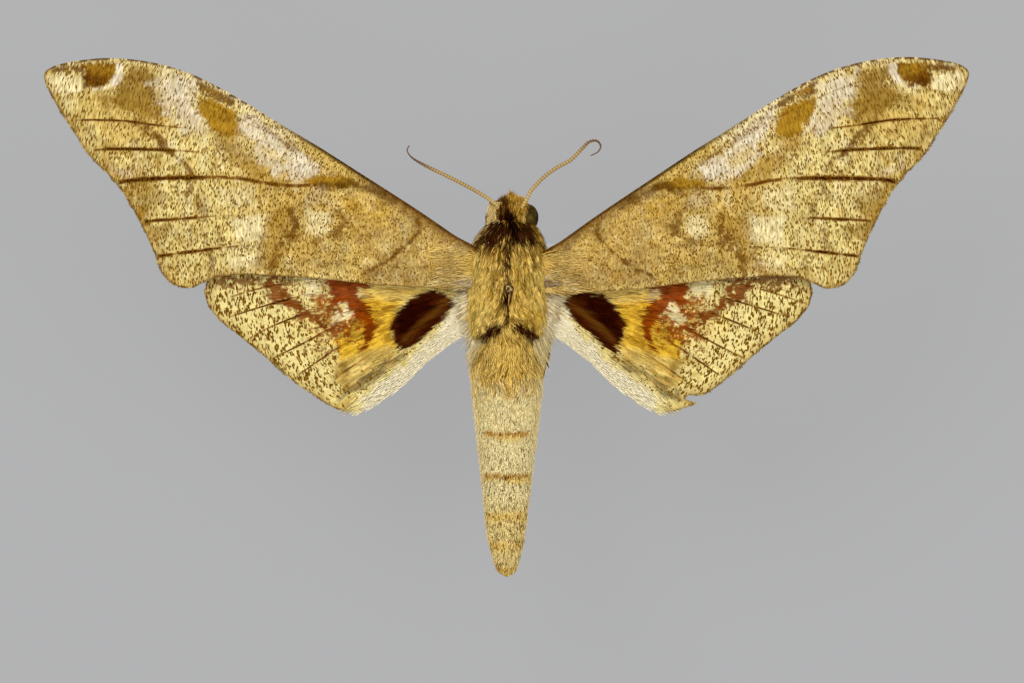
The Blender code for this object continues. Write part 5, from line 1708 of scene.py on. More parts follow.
HINDWING_MARKS = [
    Mark(Tone.PALE_GOLD, [(4, 2), (17, 4), (22, 4), (20, -2), (12, -2)], soft=3, strength=0.7, fleck=0),
    Mark(Tone.GOLD, [(17.6, 0.2), (12.4, -0.6), (13.4, -3.8), (13.8, -5.5), (12.6, -6.6), (15.7, -8.4),
        (20.4, -9), (21.2, -6), (17.6, -3)], soft=1, strength=0.95, fleck=0),
    Mark(Tone.PALE_GOLD, [(17.3, 0.8), (12.8, 0.5), (10.1, 0), (12.8, -1.5), (16.6, -1.2)], soft=0.9,
        strength=0.8, fleck=0),
    Mark(Tone.CREAM, [(21.4, 3.6), (21.4, -4.6), (18.6, -2.6), (17.4, 0.4), (17.4, 3.8)], soft=1.4,
        strength=0.7, fleck=0.1),
    Mark(Tone.PALE_GOLD, [(25.5, -1.5), (21.6, -3.6), (21.2, -6.6), (23.6, -6.4), (27, -4)], soft=1.6,
        strength=0.4),
    Mark(Tone.OCHRE, [(23.6, -0.6), (20.6, -1.2), (18, -3.2), (17.4, -5.4), (19.2, -6.6), (21.4, -5.4),
        (22.6, -3.6)], strength=0.75, ragged=0.8, fleck=0, grain=0.5, hairy=True),
    Mark(Tone.RUST, [(23.8, -0.4), (20.6, -1), (18.2, -3.2), (18.6, -4.4), (20, -6.6), (21.4, -7.2),
        (22.2, -4.8), (22.8, -3.2)], soft=0.6, strength=0.85, ragged=2.2, fleck=-0.35, grain=0.4),
    Mark(Tone.RUST, [(22.9, 2.2), (16.9, 2.2), (17.1, -0.1), (18, 0.2), (18, -0.9), (17.05, -1.2),
        (16.4, -2.6), (16, -3.8), (16.2, -5.1), (16.7, -6.7), (17.9, -7.6), (17.5, -6.4), (17.3, -5.1),
        (17.6, -4), (18.2, -3.3), (19, -2.6), (19.5, -1.6), (20.1, -1.6), (20.9, -2.4), (21.2, -1.4),
        (21.5, -0.3), (21.9, 0.6)], soft=0.45, strength=0.97, ragged=0.35, fleck=0, grain=0.5, hairy=True),
    Mark(Tone.MAROON, [(16.5, -2.6), (16.3, -3.8), (16.7, -5.4), (17.2, -6.6)], width=1, soft=0.6,
        strength=0.42, ragged=0.7, grain=0.5, hairy=True),
    Mark(Tone.RUST, [(16.6, -1.4), (14.2, -0.8), (13.4, -4), (14.4, -6.8), (16.2, -6.8)], soft=0.7,
        strength=0.32, ragged=2.2, grain=0.35, hairy=True),
    Mark(Tone.ROSY_GREY, [(18.2, -0.2), (17.2, -0.8)], width=0.7, soft=0.5, strength=0.8),
    Mark(Tone.CREAM, [(20.2, -1.6), (19.3, -1.9), (19.1, -2.8), (20, -3.6), (21, -4.1), (21.4, -3.7),
        (20.4, -2.8)], soft=0.4, ragged=0.5, fleck=0.1, grain=0.5),
    Mark(Tone.CREAM, [(24.6, 1.6), (22.7, 1.4), (22.1, 0.2), (22.7, -0.8), (24.4, -0.8)], soft=0.5,
        ragged=0.6, fleck=0.1, grain=0.6),
    Mark(Tone.RUST_BROWN, [(29.5, 1.4), (27.6, 1.2), (26.2, -0.4), (25.4, -1.2), (24.4, -2.4), (23, -2.9),
        (22.1, -3.8), (21.6, -4.8), (22.4, -5), (23.1, -4.2), (23.8, -3.4), (25.2, -3.1), (26.6, -1.9),
        (28.6, -1)], soft=0.5, strength=0.95, ragged=0.7, fleck=0, grain=0.5),
    Mark(Tone.RUST_BROWN, [(27.4, -0.9), (24.8, -2.3), (21.8, -4.8)], width=0.7, soft=0.6, ragged=0.4,
        fleck=0, grain=0.4),
    Mark(Tone.RUST_BROWN, [(35.2, 1), (33.2, 1.9), (30, 2), (29.4, 0.6), (31.4, 0.9), (33.4, 0.3)], soft=0.6,
        strength=0.85, ragged=1.1, fleck=0.5, grain=0.6),
    Mark(Tone.RUST_BROWN, [(24.8, 1.9), (28.4, 2), (26.6, 0.4)], soft=0.6, strength=0.6, ragged=1.4,
        grain=0.5),
    Mark(Tone.RUST, [(23.6, -5.9), (20.7, -4.3)], width=0.35, soft=0.4, ragged=0.15),
    Mark(Tone.GOLD, [(20.2, -6.3), (18, -7.4), (18.1, -8.8), (20.4, -8.4)], strength=0.7, fleck=0),
    Mark(Tone.STRAW, [(20.9, -8.6), (17.8, -7.6), (13.3, -6.6), (13.5, -8.5), (16.4, -9.8), (19, -12.2),
        (20.9, -10.6)], soft=1, fleck=0.1),
    Mark(Tone.OLIVE, [(20.2, -9), (19.6, -11.2)], width=1, soft=1, strength=0.6, ragged=0.4),
    Mark(Tone.OLIVE, [(17.4, -8.2), (14.6, -7.6)], width=0.7, soft=1, strength=0.35, ragged=0.4),
    Mark(Tone.FUR_WHITE, [(6.7, -1.2), (3, 0), (3, -5.2), (8.5, -8.4), (11.3, -10.8), (14.5, -14),
        (16.7, -15.3), (18.6, -15), (18.6, -13.2), (15.4, -11.2), (12, -8.6), (8.1, -4.6)], soft=0.7,
        strength=1, ragged=0.35, fleck=0.12),
    Mark(Tone.LEMON, [(22.5, -12.2), (17.8, -13), (17, -15), (22, -15)], soft=1, fleck=0.45),
    Mark(Tone.DARK_BROWN, [(20.6, -12.9), (18.8, -11.9), (16.4, -10.3), (14.6, -9.2), (12.6, -8)], width=0.7,
        strength=0.7, ragged=0.5, grain=0.5, hairy=True),
    Mark(Tone.MAROON, [(12.9, -2), (11.3, -0.6), (9.2, 0), (7.5, -0.4), (6.4, -1.6), (7.5, -3.1),
        (8.8, -4.4), (11.1, -6.6), (12.8, -7.6), (13.3, -6.5), (14.1, -5.5), (13.9, -3.8)], soft=0.5,
        strength=1, fleck=0, grain=0.8, hairy=True),
    Mark(Tone.MAROON_BLACK, [(13.3, -3.2), (12.2, -1.4), (9.6, -1), (9, -2), (11.4, -4.6), (13.6, -5.4)],
        soft=0.9, strength=1, ragged=0.5, grain=0.7, hairy=True),
    Mark(Tone.BROWN, [(7.2, -1.2), (9.6, -3.2), (12.4, -5.7)], width=0.8, soft=0.9, strength=0.55,
        ragged=0.4, hairy=True),
]


@dataclass
class Plan:
    """A wing's plan: fine triangles over its outline, closer along its veins."""

    outline: Line
    veins: Sequence[Vein]
    grid: float = 0.18
    rim_step: float = 0.2
    lanes: Sequence[float] = (-0.3, -0.15, -0.06, 0.0, 0.06, 0.15, 0.3)
    frayed: float = 0.1
    places: Array = field(init=False)
    triangles: Array = field(init=False)
    rim: Array = field(init=False)

    def __post_init__(self) -> None:
        """Lays out the places and triangulates them."""
        rim = curve_through(self.outline, True, self.rim_step)
        fray = Cloud(9).at(rim[:, 0] * 3, rim[:, 1] * 3, 1.3, 2)
        ahead = np.roll(rim, -1, axis=0) - np.roll(rim, 1, axis=0)
        ahead /= np.linalg.norm(ahead, axis=1)[:, None]
        inward = np.stack([ahead[:, 1], -ahead[:, 0]], 1)
        outer = smooth_step(rim[:, 0], 22, 30) * (1 - smooth_step(rim[:, 1], 24, 26))
        rim = rim + inward * (self.frayed * (0.5 + 0.5 * fray) * outer)[:, None]
        low, high = rim.min(0), rim.max(0)
        rows = np.arange(low[1], high[1], self.grid * 0.866)
        columns = np.arange(low[0], high[0], self.grid)
        x, y = np.meshgrid(columns, rows)
        x = x + (np.arange(len(rows)) % 2)[:, None] * self.grid / 2
        x, y = x.ravel(), y.ravel()
        fill = inside(x, y, rim) & (distance_to(x, y, rim, closed=True) > self.grid * 0.5)
        x, y = x[fill], y[fill]
        lanes = []
        for vein in self.veins:
            line = curve_through(vein.points, False, 0.28)
            far = distance_to(x, y, line)
            x, y = x[far > 0.4], y[far > 0.4]
            run = np.gradient(line, axis=0)
            run /= np.linalg.norm(run, axis=1)[:, None]
            for lane in self.lanes:
                spots = line + np.stack([-run[:, 1], run[:, 0]], 1) * lane
                within = inside(spots[:, 0], spots[:, 1], rim)
                near_rim = distance_to(spots[:, 0], spots[:, 1], rim, closed=True) < 0.08
                lanes.append(spots[within & ~near_rim])
        spots = np.vstack([rim, np.stack([x, y], 1), *lanes])
        edges = [(i, (i + 1) % len(rim)) for i in range(len(rim))]
        flat, _, faces, *_ = delaunay_2d_cdt(
            [Vector(p) for p in spots], edges, [list(range(len(rim)))], 1, 1e-4
        )
        self.places = np.array([tuple(p) for p in flat])
        self.triangles = np.array([tuple(face) for face in faces])
        self.rim = rim

    def edges_of_rim(self) -> Array:
        """The edges that only one triangle has, in its order.

        Returns:
            The two ends of each edge.
        """
        pairs = np.vstack([self.triangles[:, (0, 1)], self.triangles[:, (1, 2)], self.triangles[:, (2, 0)]])
        key = np.sort(pairs, 1)
        _, first, counts = np.unique(key, axis=0, return_index=True, return_counts=True)
        return pairs[first[counts == 1]]


@dataclass
class Wing:
    """One wing, from its plan and marks."""

    DEPTH: ClassVar[float] = 0.72  # flat scales are painted darker than tufts, which shade themselves

    kind: str
    side: Side
    plan: Plan
    marks: Sequence[Mark]
    drop: float
    set_by: tuple[float, float]  # shift along Y and turn in degrees, tip forward
    ground: Tone = Tone.LEMON
    ground_fleck: float = 0.84
    membrane: float = 0.18
    root_thick: float = 0.5
    ridge: float = 0.13
    sag: float = 0.1
    broad: int = 9  # how many of its marks lie under the clouding
    fore_fur: int = 900
    hind_fur: int = 8200
    fan: Triple = (-20.0, 6.0, 50.0)  # where scale rows' lines meet, and a mid reach

    def rows(self, x: Array, y: Array) -> Array:
        """Places measured out from where the rows' lines meet and round it.

        Args:
            x: Places' x.
            y: Places' y.

        Returns:
            One row for each place.
        """
        out, up = x - self.fan[0], y - self.fan[1]
        seed = 0.0 if self.side is Side.RIGHT else 211.0
        return np.stack([np.hypot(out, up) + seed, np.arctan2(up, out) * self.fan[2], np.zeros(len(x))], 1)

    def turned(self, x: Array, y: Array) -> tuple[Array, Array]:
        """Places of the plan moved to the wing's own side.

        Args:
            x: Places' x.
            y: Places' y.

        Returns:
            Their x and y on that side.
        """
        shift, degrees = self.set_by
        turn = math.radians(degrees)
        out = x - ROOT_X
        moved = ROOT_X + out * math.cos(turn) - y * math.sin(turn)
        return moved * self.side.value, out * math.sin(turn) + y * math.cos(turn) + shift

    def relief(self, x: Array, y: Array) -> Array:
        """Height of veins and folds over the sheet.

        Args:
            x: Places' x.
            y: Places' y.

        Returns:
            One height for each place.
        """
        height = Cloud(3).at(x, y * 1.6, 7.0, 2) * self.sag
        nearest = np.full(len(x), 9.0)
        for vein in self.plan.veins:
            line = curve_through(vein.points, False, 0.6)
            nearest = np.minimum(nearest, distance_to(x, y, line))
        height -= self.sag * (1 - np.exp(-((nearest / 1.4) ** 2)))
        return height + self.ridge * np.exp(-((nearest / 0.14) ** 2))

    def painted(self, x: Array, y: Array) -> Painting:
        """The upper side's painting at places of the plan.

        Args:
            x: Places' x.
            y: Places' y.

        Returns:
            The painting.
        """
        art = Painting(x, y, self.ground, self.ground_fleck, 61 if self.side is Side.LEFT else 62)
        for count, mark in enumerate(self.marks):
            if count == self.broad:
                self.clouding(art)
            art.add(mark)
        self.edge_marks(art)
        for vein in self.plan.veins:
            line = curve_through(vein.points, False, 0.6)
            far = distance_to(x, y, line)
            start, middle, end = vein.dark
            reach = np.linalg.norm(np.stack([x, y], 1) - line[0], axis=1)
            share = np.clip(reach / np.linalg.norm(line[-1] - line[0]), 0, 1)
            dark = np.interp(share, (0, 0.45, 0.68, 0.85, 1), (start, start, middle, end, end * 0.7))
            dark = dark * np.clip(0.9 + 0.4 * art.cloud.at(art.x * 2, art.y * 2, 1.5), 0, 1)
            width = vein.width * (0.4 + 0.9 * dark)
            core = (1 - smooth_step(far / width, 0.2, 0.82)) * smooth_step(dark, 0.16, 0.78)
            art.colour = art.colour * VEIN_STAIN ** core[:, None]
        return art

    def clouding(self, art: Painting) -> None:
        """Mottles the ground, and draws hair streaks near the root.

        Args:
            art: The painting.
        """
        if self.kind == "forewing":
            inner = 1 - smooth_step(art.x, 18, 32)
            blots = smooth_step(art.cloud.at(art.x * 1.7, art.y, 1.6, 3), 0.05, 0.75)
            art.wash(Tone.OCHRE, blots * (0.3 + 0.25 * smooth_step(art.x, 34, 46)) * (1 - inner))
            fine = np.clip(art.cloud.at(art.x * 3.4, art.y * 1.2 + 9, 0.9, 3) - 0.1, 0, 1)
            art.wash(Tone.OCHRE, fine * (0.4 - 0.1 * inner))
            pale = np.clip(art.cloud.at(art.x * 1.8 + 70, art.y, 1.8, 3), 0, 1)
            art.wash(Tone.CREAM, pale * (0.6 - 0.3 * inner))
            art.wash(Tone.MAUVE, np.clip(art.cloud.at(art.x, art.y * 1.5, 1.1, 3), 0, 1) * 0.55 * inner)
            art.wash(Tone.OCHRE, np.clip(-art.cloud.at(art.x, art.y * 1.5, 1.4, 3), 0, 1) * 0.45 * inner)
            light = 1 + 0.12 * art.cloud.at(art.x + 40, art.y, 2.2, 3)
        else:
            hairy = 1 - smooth_step(art.x, 20, 26)
            hairy *= 0.25 + 0.75 * smooth_step(distance_to(art.x, art.y, INNER_EDGE), 0.6, 2.2)
            streak = np.clip(art.streaks(0.5), 0, 1) * hairy
            art.colour = art.colour * (1 - streak[:, None] * np.array((0.25, 0.35, 0.6)))
            light = 1 + 0.3 * art.streaks(0.35) * hairy
        art.colour = capped(art.colour * light[:, None])

    def edge_marks(self, art: Painting) -> None:
        """Darkens the wing's edges.

        Args:
            art: The painting.
        """
        far = distance_to(art.x, art.y, self.plan.rim, closed=True)

        def near(low: float, high: float) -> Array:
            """1 up to the first distance from the edge, and 0 from the second."""
            return 1 - smooth_step(far, low, high)

        costa = (art.y > 0.45 * art.x + 2.0) & (art.y > 3.0)
        if self.kind == "forewing":
            inner = 1 - smooth_step(art.x, 22, 32)
            outer = costa * (1 - inner)
            art.wash(Tone.BLACK_BROWN, near(0.22, 0.55) * costa * (0.95 * inner))
            art.wash(Tone.CREAM, near(0.15, 0.7) * outer * 0.7, 0.9)
            dashes = smooth_step(art.cloud.at(art.x * 2.4, art.y * 2.4, 1.4, 1), -0.15, 0.15)
            art.wash(Tone.DARK_BROWN, near(0.15, 0.42) * outer * dashes * 0.9)
            art.wash(Tone.BROWN, near(0.4, 1.9) * costa * (1 - smooth_step(art.x, 12, 20)) * 0.55)
        edge = ~costa & (art.x > (30 if self.kind == "forewing" else 19))
        broken = np.clip(0.8 + 0.45 * art.cloud.at(art.x * 2.2, art.y * 2.2, 1.0, 2), 0, 1)
        art.wash(Tone.OCHRE, near(0.2, 1.6) * edge * 0.4)
        art.wash(Tone.DARK_BROWN, near(0.05, 0.32) * edge * broken * 0.8)
        if self.kind == "forewing":
            art.wash(Tone.BROWN, near(0.0, 0.25) * (~costa & (art.x <= 36)) * 0.6)

    def under_painted(self, art: Painting) -> Array:
        """The under side's colours: ochre with the upper marks showing faintly.

        Args:
            art: The upper side's painting.

        Returns:
            Linear colours.
        """
        ochre = Tone.UNDER_OCHRE.linear()
        light = 0.9 + 0.25 * art.cloud.at(art.x, art.y, 3.0, 3)[:, None]
        return (art.colour * 0.35 + ochre * 0.65) * light

    def build(self, finish: Material) -> Thing:
        """Makes the wing.

        Args:
            finish: Its material.

        Returns:
            The piece.
        """
        px, py = self.plan.places[:, 0], self.plan.places[:, 1]
        x, y = self.turned(px, py)
        art = self.painted(px, py)
        relief = self.relief(px, py)
        thick = self.membrane + self.root_thick * np.exp(-np.maximum(px - ROOT_X, 0) / 2.5)
        middle = sheet_height(x, y) - self.drop + relief * 0.6
        vein = np.maximum(relief, 0)
        top = np.stack([x, y, middle + thick / 2 + vein * 0.4], 1)
        under = np.stack([x, y, middle - thick / 2 - vein * 0.8], 1)
        count = len(px)
        faces, rim = self.plan.triangles, self.plan.edges_of_rim()
        if self.side is Side.LEFT:
            faces, rim = faces[:, ::-1], rim[:, ::-1]
        walls = np.vstack([
            np.stack([rim[:, 0], rim[:, 0] + count, rim[:, 1] + count], 1),
            np.stack([rim[:, 0], rim[:, 1] + count, rim[:, 1]], 1),
        ])
        reach = max(px.max() - px.min(), (py.max() - py.min()) * 2.05)
        flat = np.stack([(px - px.min()) / reach, (py - py.min()) / reach], 1) * 0.97 + 0.01
        flat_under = flat + np.array((0.0, 0.5))
        plan = self.rows(px, py)
        shape = Shape(
            np.vstack([top, under]),
            np.vstack([faces, faces[:, ::-1] + count, walls]),
            np.vstack([art.colour, self.under_painted(art)]) * self.DEPTH,
            {"fleck": np.concatenate([art.fleck, art.fleck * 0.55])},
            {"plan": np.vstack([plan, plan + np.array((97.0, 31.0, 0.0))])},
            np.vstack([flat, flat_under]),
        )
        name = f"{self.kind}_{self.side.word}"
        return shape.piece(f"{name}_membrane", finish, f"{self.kind}_scales", name)

    def hairs(
        self, name: str, root: Array, lean: Array, length: Array, width: Array, lift: Array, seed: int,
        finish: Material,
    ) -> Thing:
        """Hair or fringe on the wing, in the wing's colours.

        Args:
            name: What the piece's name ends in.
            root: Each hair's root on the plan.
            lean: Its direction on the plan.
            length: Its length.
            width: Its width.
            lift: Height of its tip over the wing.
            seed: Sets the scatter of colours.
            finish: The material.

        Returns:
            The piece.
        """
        draw = np.random.default_rng(seed)
        way = lean * length[:, None]
        steps = []
        for share, height in zip(TUFT_STEPS, (0.0, 0.5, 0.85, 1.0)):
            x, y = self.turned(*(root + way * share).T)
            steps.append(np.stack([x, y, sheet_height(x, y) - self.drop + 0.05 + lift * height], 1))
        ups = np.tile(UP, (len(root), 1))
        base = self.painted(*(root + way * 0.4).T).colour
        paint = graded(base * np.exp(draw.normal(0, 0.1, len(root)))[:, None], 0.95, 1.15)
        wide, tall = np.ptp(self.plan.places, axis=0)
        unwrap = (root - self.plan.places.min(0)) / max(wide, tall * 2.05) * 0.97 + 0.01
        shape = tufts(np.stack(steps, 1), ups, width, paint, unwrap, 0.15)
        return shape.piece(f"{self.kind}_{self.side.word}_{name}", finish, f"{self.kind}_scales")

    def fringe(self, finish: Material) -> None:
        """The fringe of narrow scales along the outer edge.

        Args:
            finish: The material.
        """
        rim = self.plan.rim
        fine = curve_through(rim[::4], True, 0.11)
        ahead = unit(np.roll(fine, -1, axis=0) - np.roll(fine, 1, axis=0))
        out = np.stack([-ahead[:, 1], ahead[:, 0]], 1)
        x, y = fine.T
        if self.kind == "forewing":
            keep = (x > 34) & ((y < 25.5) | (x > 55)) & (y < 0.45 * x)
        else:
            keep = (x > 18) & (y < 1.0)
        fine, out = fine[keep], out[keep]
        if inside(*(fine + out * 0.3).T, rim).mean() > 0.5:
            out = -out
        draw = np.random.default_rng(71)
        count = len(fine)
        dashes = Cloud(8).at(fine[:, 0] * 2, fine[:, 1] * 2, 1.5, 1)
        length = draw.uniform(0.16, 0.3, count) * (1 + 0.35 * dashes)
        lean = out + draw.normal(0, 0.12, (count, 2))
        width, lift = draw.uniform(0.12, 0.18, count), draw.uniform(-0.04, 0.05, count)
        self.hairs("fringe", fine - out * 0.14, lean, length, width, lift, 72, finish)

    def fur(self, finish: Material) -> None:
        """The hair on the wing's base, which lies outwards and back.

        Args:
            finish: The material.
        """
        draw = np.random.default_rng(81)
        if self.kind == "forewing":
            count = self.fore_fur
            x, y = draw.uniform(4.0, 9.0, count), draw.uniform(-0.3, 5.0, count)
            keep = inside(x, y, self.plan.rim) & (draw.random(count) < smooth_step(-x, -9.0, -5.0))
            x, y = x[keep], y[keep]
            count = len(x)
            lean = np.stack([np.ones(count), draw.normal(-0.12, 0.14, count)], 1)
            length, lift = draw.uniform(0.9, 1.7, count), draw.uniform(0.1, 0.35, count)
            width = draw.uniform(0.1, 0.18, count)
        else:
            count = self.hind_fur
            x, y = draw.uniform(3.6, 20.0, count), draw.uniform(-15.0, 2.5, count)
            inner = distance_to(x, y, INNER_EDGE)
            thick = np.maximum(0.35 * smooth_step(-x, -19, -14), smooth_step(-inner, -2.2, -0.8))
            keep = inside(x, y, self.plan.rim) & (draw.random(count) < thick)
            x, y, inner = x[keep], y[keep], inner[keep]
            count = len(x)
            along = np.array((0.78, -0.62))  # the way that the inner edge runs
            near = smooth_step(-inner, -2.4, -0.3)[:, None]
            lean = blend(unit(np.stack([x - 1.0, y + 0.6], 1)), along, near)
            lean += draw.normal(0, 0.09, (count, 2))
            length = draw.uniform(1.0, 2.0, count) * (1 - 0.2 * near[:, 0])
            lift = draw.uniform(0.04, 0.12, count) + 0.14 * near[:, 0]
            width = draw.uniform(0.07, 0.12, count)
        self.hairs("fur", np.stack([x, y], 1), lean, length, width, lift, 82, finish)


# Small parts


@dataclass
class Eye:
    """One compound eye."""

    head: Head
    side: Side
    segments: int = 56
    rings: int = 36

    def build(self, finish: Material) -> Thing:
        """Makes the eye.

        Args:
            finish: Its material.

        Returns:
            The piece.
        """
        lat = np.linspace(-math.pi / 2, math.pi / 2, self.rings)
        path = np.stack([np.zeros(self.rings), np.sin(lat), np.zeros(self.rings)], 1)
        ball = tube(path, np.maximum(np.cos(lat), 0.001), self.segments)
        across, ahead, up = ball.points.T
        across = across * self.side.value
        # Painted shade: the rear, against the head, and the inner and outer sides, where the ball turns away,
        # carry shade 1.
        rear = smooth_step(-ahead - 0.35 * up - 0.3 * np.abs(across), 0.1, 0.75)
        ball.numbers = {"shade": np.maximum(rear, smooth_step(np.abs(across - 0.1), 0.55, 0.85))}
        ball.points = ball.points * np.array(self.head.eye_radii) + self.head.eye(self.side)
        node = f"eye_{self.side.word}"
        return ball.piece(f"{node}_lens", finish, "eye", node)


@dataclass
class Feeler:
    """One feeler: ringed, with two rows of short teeth and a thin hooked tip."""

    side: Side
    places: Sequence[Triple]
    radius: float = 0.22
    tip_radius: float = 0.07
    ring_length: float = 0.36
    tooth: float = 0.15
    sides: int = 14

    def build(self, finish: Material) -> Thing:
        """Makes the feeler.

        Args:
            finish: Its material.

        Returns:
            The piece.
        """
        path = curve_through([(x, y, BODY_HEIGHT + z) for x, y, z in self.places], False, 0.055)
        run = np.concatenate([[0], np.cumsum(np.linalg.norm(np.diff(path, axis=0), axis=1))])
        share = run / run[-1]
        phase = (run / self.ring_length) % 1.0
        slim = smooth_step(share, 0.62, 1.0)
        swell = 0.9 + 0.09 * np.sin(math.pi * phase)
        radii = blend(self.radius, self.tip_radius, slim) * swell
        shaft = tube(path, radii, self.sides)
        ring_of = np.concatenate([np.repeat(np.arange(len(path)), self.sides), [0, len(path) - 1]])
        dark = smooth_step(np.abs(phase - 0.5), 0.3, 0.5) + smooth_step(share, 0.6, 0.85)
        mix = np.clip(0.5 + 0.45 * dark - 0.25 * (1 - smooth_step(share, 0.0, 0.3)), 0, 1)[ring_of]
        shaft.paint = blend(Tone.TAN.linear(), Tone.DARK_BROWN.linear(), mix[:, None])
        picks = np.nonzero(np.diff(np.floor(run / self.ring_length)) > 0)[0]
        picks = picks[(share[picks] > 0.06) & (share[picks] < 0.88)]
        count = len(picks)
        ahead = unit(np.gradient(path, axis=0))[picks]
        size = (self.tooth * (1 - 0.6 * slim[picks]))[:, None]
        paint = graded(np.tile(np.array((0.16, 0.07, 0.03)), (count, 1)), 1, 1)
        where = np.stack([0.02 + share[picks] * 0.96, np.full(count, 0.3)], 1)
        teeth = []
        for way in (-1, 1):
            flank = np.cross(ahead, (0, 0, 1)) * way
            root = path[picks] + flank * radii[picks][:, None] * 0.6
            for drop in (0.2, -0.75):
                side = (flank + np.array((0, 0, drop)) * 0.8 + ahead * 0.35) * size
                paths = stepped(root, side, side, FLAT)
                teeth.append(tufts(paths, np.tile(UP, (count, 1)), np.full(count, 0.09), paint, where))
        node = f"antenna_{self.side.word}"
        return Shape.joined([shaft, *teeth]).piece(f"{node}_comb", finish, "feeler", node)


@dataclass(frozen=True)
class Scales:
    """Flat scales that lie along a limb."""

    lengths: tuple[float, float]
    widths: tuple[float, float]
    heights: Sequence[float]  # over the limb, at each scale's four places
    tones: Sequence[Tone]

    def laid(
        self, draw: np.random.Generator, middle: Array, ahead: Array, across: Triple, out_to: Array | float,
        share: Array,
    ) -> Shape:
        """Lays them round the limb's middle line.

        Args:
            draw: The random source.
            middle: For each scale, its place on the line.
            ahead: The limb's direction there.
            across: A direction that is not along the limb.
            out_to: How far out from the line they are rooted.
            share: How far along the limb each one is.

        Returns:
            The scales.
        """
        count = len(middle)
        turn = draw.uniform(0, 2 * math.pi, count)
        side = unit(np.cross(ahead, across))
        out = side * np.cos(turn)[:, None] + np.cross(side, ahead) * np.sin(turn)[:, None]
        length = draw.uniform(*self.lengths, count)[:, None]
        paths = stepped(middle + out * out_to, ahead * length, out, self.heights)
        paint = picked(self.tones, draw, count) * draw.uniform(0.7, 1.1, count)[:, None]
        where = np.stack([0.02 + share * 0.9, 0.02 + turn / 7], 1)
        return tufts(paths, out, draw.uniform(*self.widths, count), graded(paint, 0.8, 1.05), where)


@dataclass
class Leg:
    """One leg: scaled thigh and shin, five foot joints, spurs and two claws."""

    kind: str
    side: Side
    joints: Sequence[Triple]
    spread: float
    stations: int = 16
    sides: int = 12
    scale_count: int = 260
    bristles: int = 16
    scales: ClassVar[Scales] = Scales(
        (0.4, 0.8), (0.14, 0.24), (0, 0.1, 0.13, 0.15), (Tone.UNDER_BROWN, Tone.HEAD_PALE, Tone.HEAD_BROWN)
    )

    def places(self) -> Array:
        """Hip, knee, shin's end, foot's middle and claw."""
        way = self.spread * self.side.value
        return np.array([(x * way, y, BODY_HEIGHT + z) for x, y, z in self.joints])

    def limb(self, start: Array, end: Array, radii: Sequence[float], tone: Tone) -> Shape:
        """A rounded length between two joints, with its radius at even steps along it.

        Args:
            start: One end.
            end: The other.
            radii: Its radius at even steps.
            tone: Its colour.

        Returns:
            The shape.
        """
        share = np.linspace(0, 1, self.stations)
        size = np.interp(share, np.linspace(0, 1, len(radii)), radii)
        size = size * np.sqrt(np.clip(1 - (2 * share - 1) ** 8, 0.02, 1))
        return tube(start + (end - start) * share[:, None], size, self.sides, (1, 0, 0), (tone,))

    def scaled(self, start: Array, end: Array, radius: float, seed: int) -> Shape:
        """The scales on a length of the leg.

        Args:
            start: One end.
            end: The other.
            radius: The length's radius.
            seed: Sets their scatter.

        Returns:
            The scales.
        """
        draw = np.random.default_rng(seed)
        share = draw.uniform(0.02, 0.85, self.scale_count)
        middle = start + (end - start) * share[:, None]
        return self.scales.laid(draw, middle, unit(end - start), (1.0, 0.2, 0.1), radius * 0.8, share)

    def spikes(self) -> Shape:
        """The spurs at the shin's end, the claws and the foot's bristles.

        Returns:
            All of them.
        """
        _, knee, ankle, foot, claw = self.places()
        shin, toe = unit(ankle - knee), unit(claw - foot)
        made = []
        if self.kind != "leg_fore":
            for lean in (-0.45, 0.45):
                made.append((ankle - shin * 0.3, unit(shin + np.array((lean, 0, -0.35))) * 1.25, 0.24))
        for lean in (-0.5, 0.5):
            made.append((claw - toe * 0.12, unit(toe + np.array((lean, 0, -0.4))) * 0.3, 0.11))
        for k in range(self.bristles):
            share = k / self.bristles
            place = blend(ankle, foot, share) if share < 0.5 else blend(foot, claw, 2 * share - 1)
            lean = 0.6 if k % 2 else -0.6
            made.append((place, (toe + np.array((lean, 0, -0.5))) * 0.3, 0.07))
        roots, ways, sizes = (np.array(values) for values in zip(*made))
        count = len(made)
        paint = graded(np.tile(Tone.DARK_BROWN.linear(), (count, 1)), 1, 1)
        ups, where = np.tile(UP, (count, 1)), np.tile((0.5, 0.96), (count, 1))
        return tufts(stepped(roots, ways, ways, FLAT), ups, sizes, paint, where)

    def build(self, finish: Material) -> Thing:
        """Makes the leg.

        Args:
            finish: Its material.

        Returns:
            The piece.
        """
        hip, knee, ankle, foot, claw = self.places()
        parts = [
            self.limb(hip, knee, (0.55, 0.68, 0.62, 0.46), Tone.UNDER_BROWN),
            self.limb(knee, ankle, (0.36, 0.44, 0.36, 0.32), Tone.UNDER_BROWN),
        ]
        line = [ankle, blend(ankle, foot, 0.55), foot]
        line += [blend(foot, claw, share) for share in (0.35, 0.68, 0.97)]
        for k, (start, end) in enumerate(zip(line, line[1:])):
            size = 0.27 - 0.02 * k
            parts.append(self.limb(start, end, (size * 0.75, size * 0.85, size), Tone.HEAD_BROWN))
        parts += [self.spikes(), self.scaled(hip, knee, 0.6, 91), self.scaled(knee, ankle, 0.38, 92)]
        node = f"{self.kind}_{self.side.word}"
        return Shape.joined(parts).piece(f"{node}_limb", finish, "leg_scales", node)


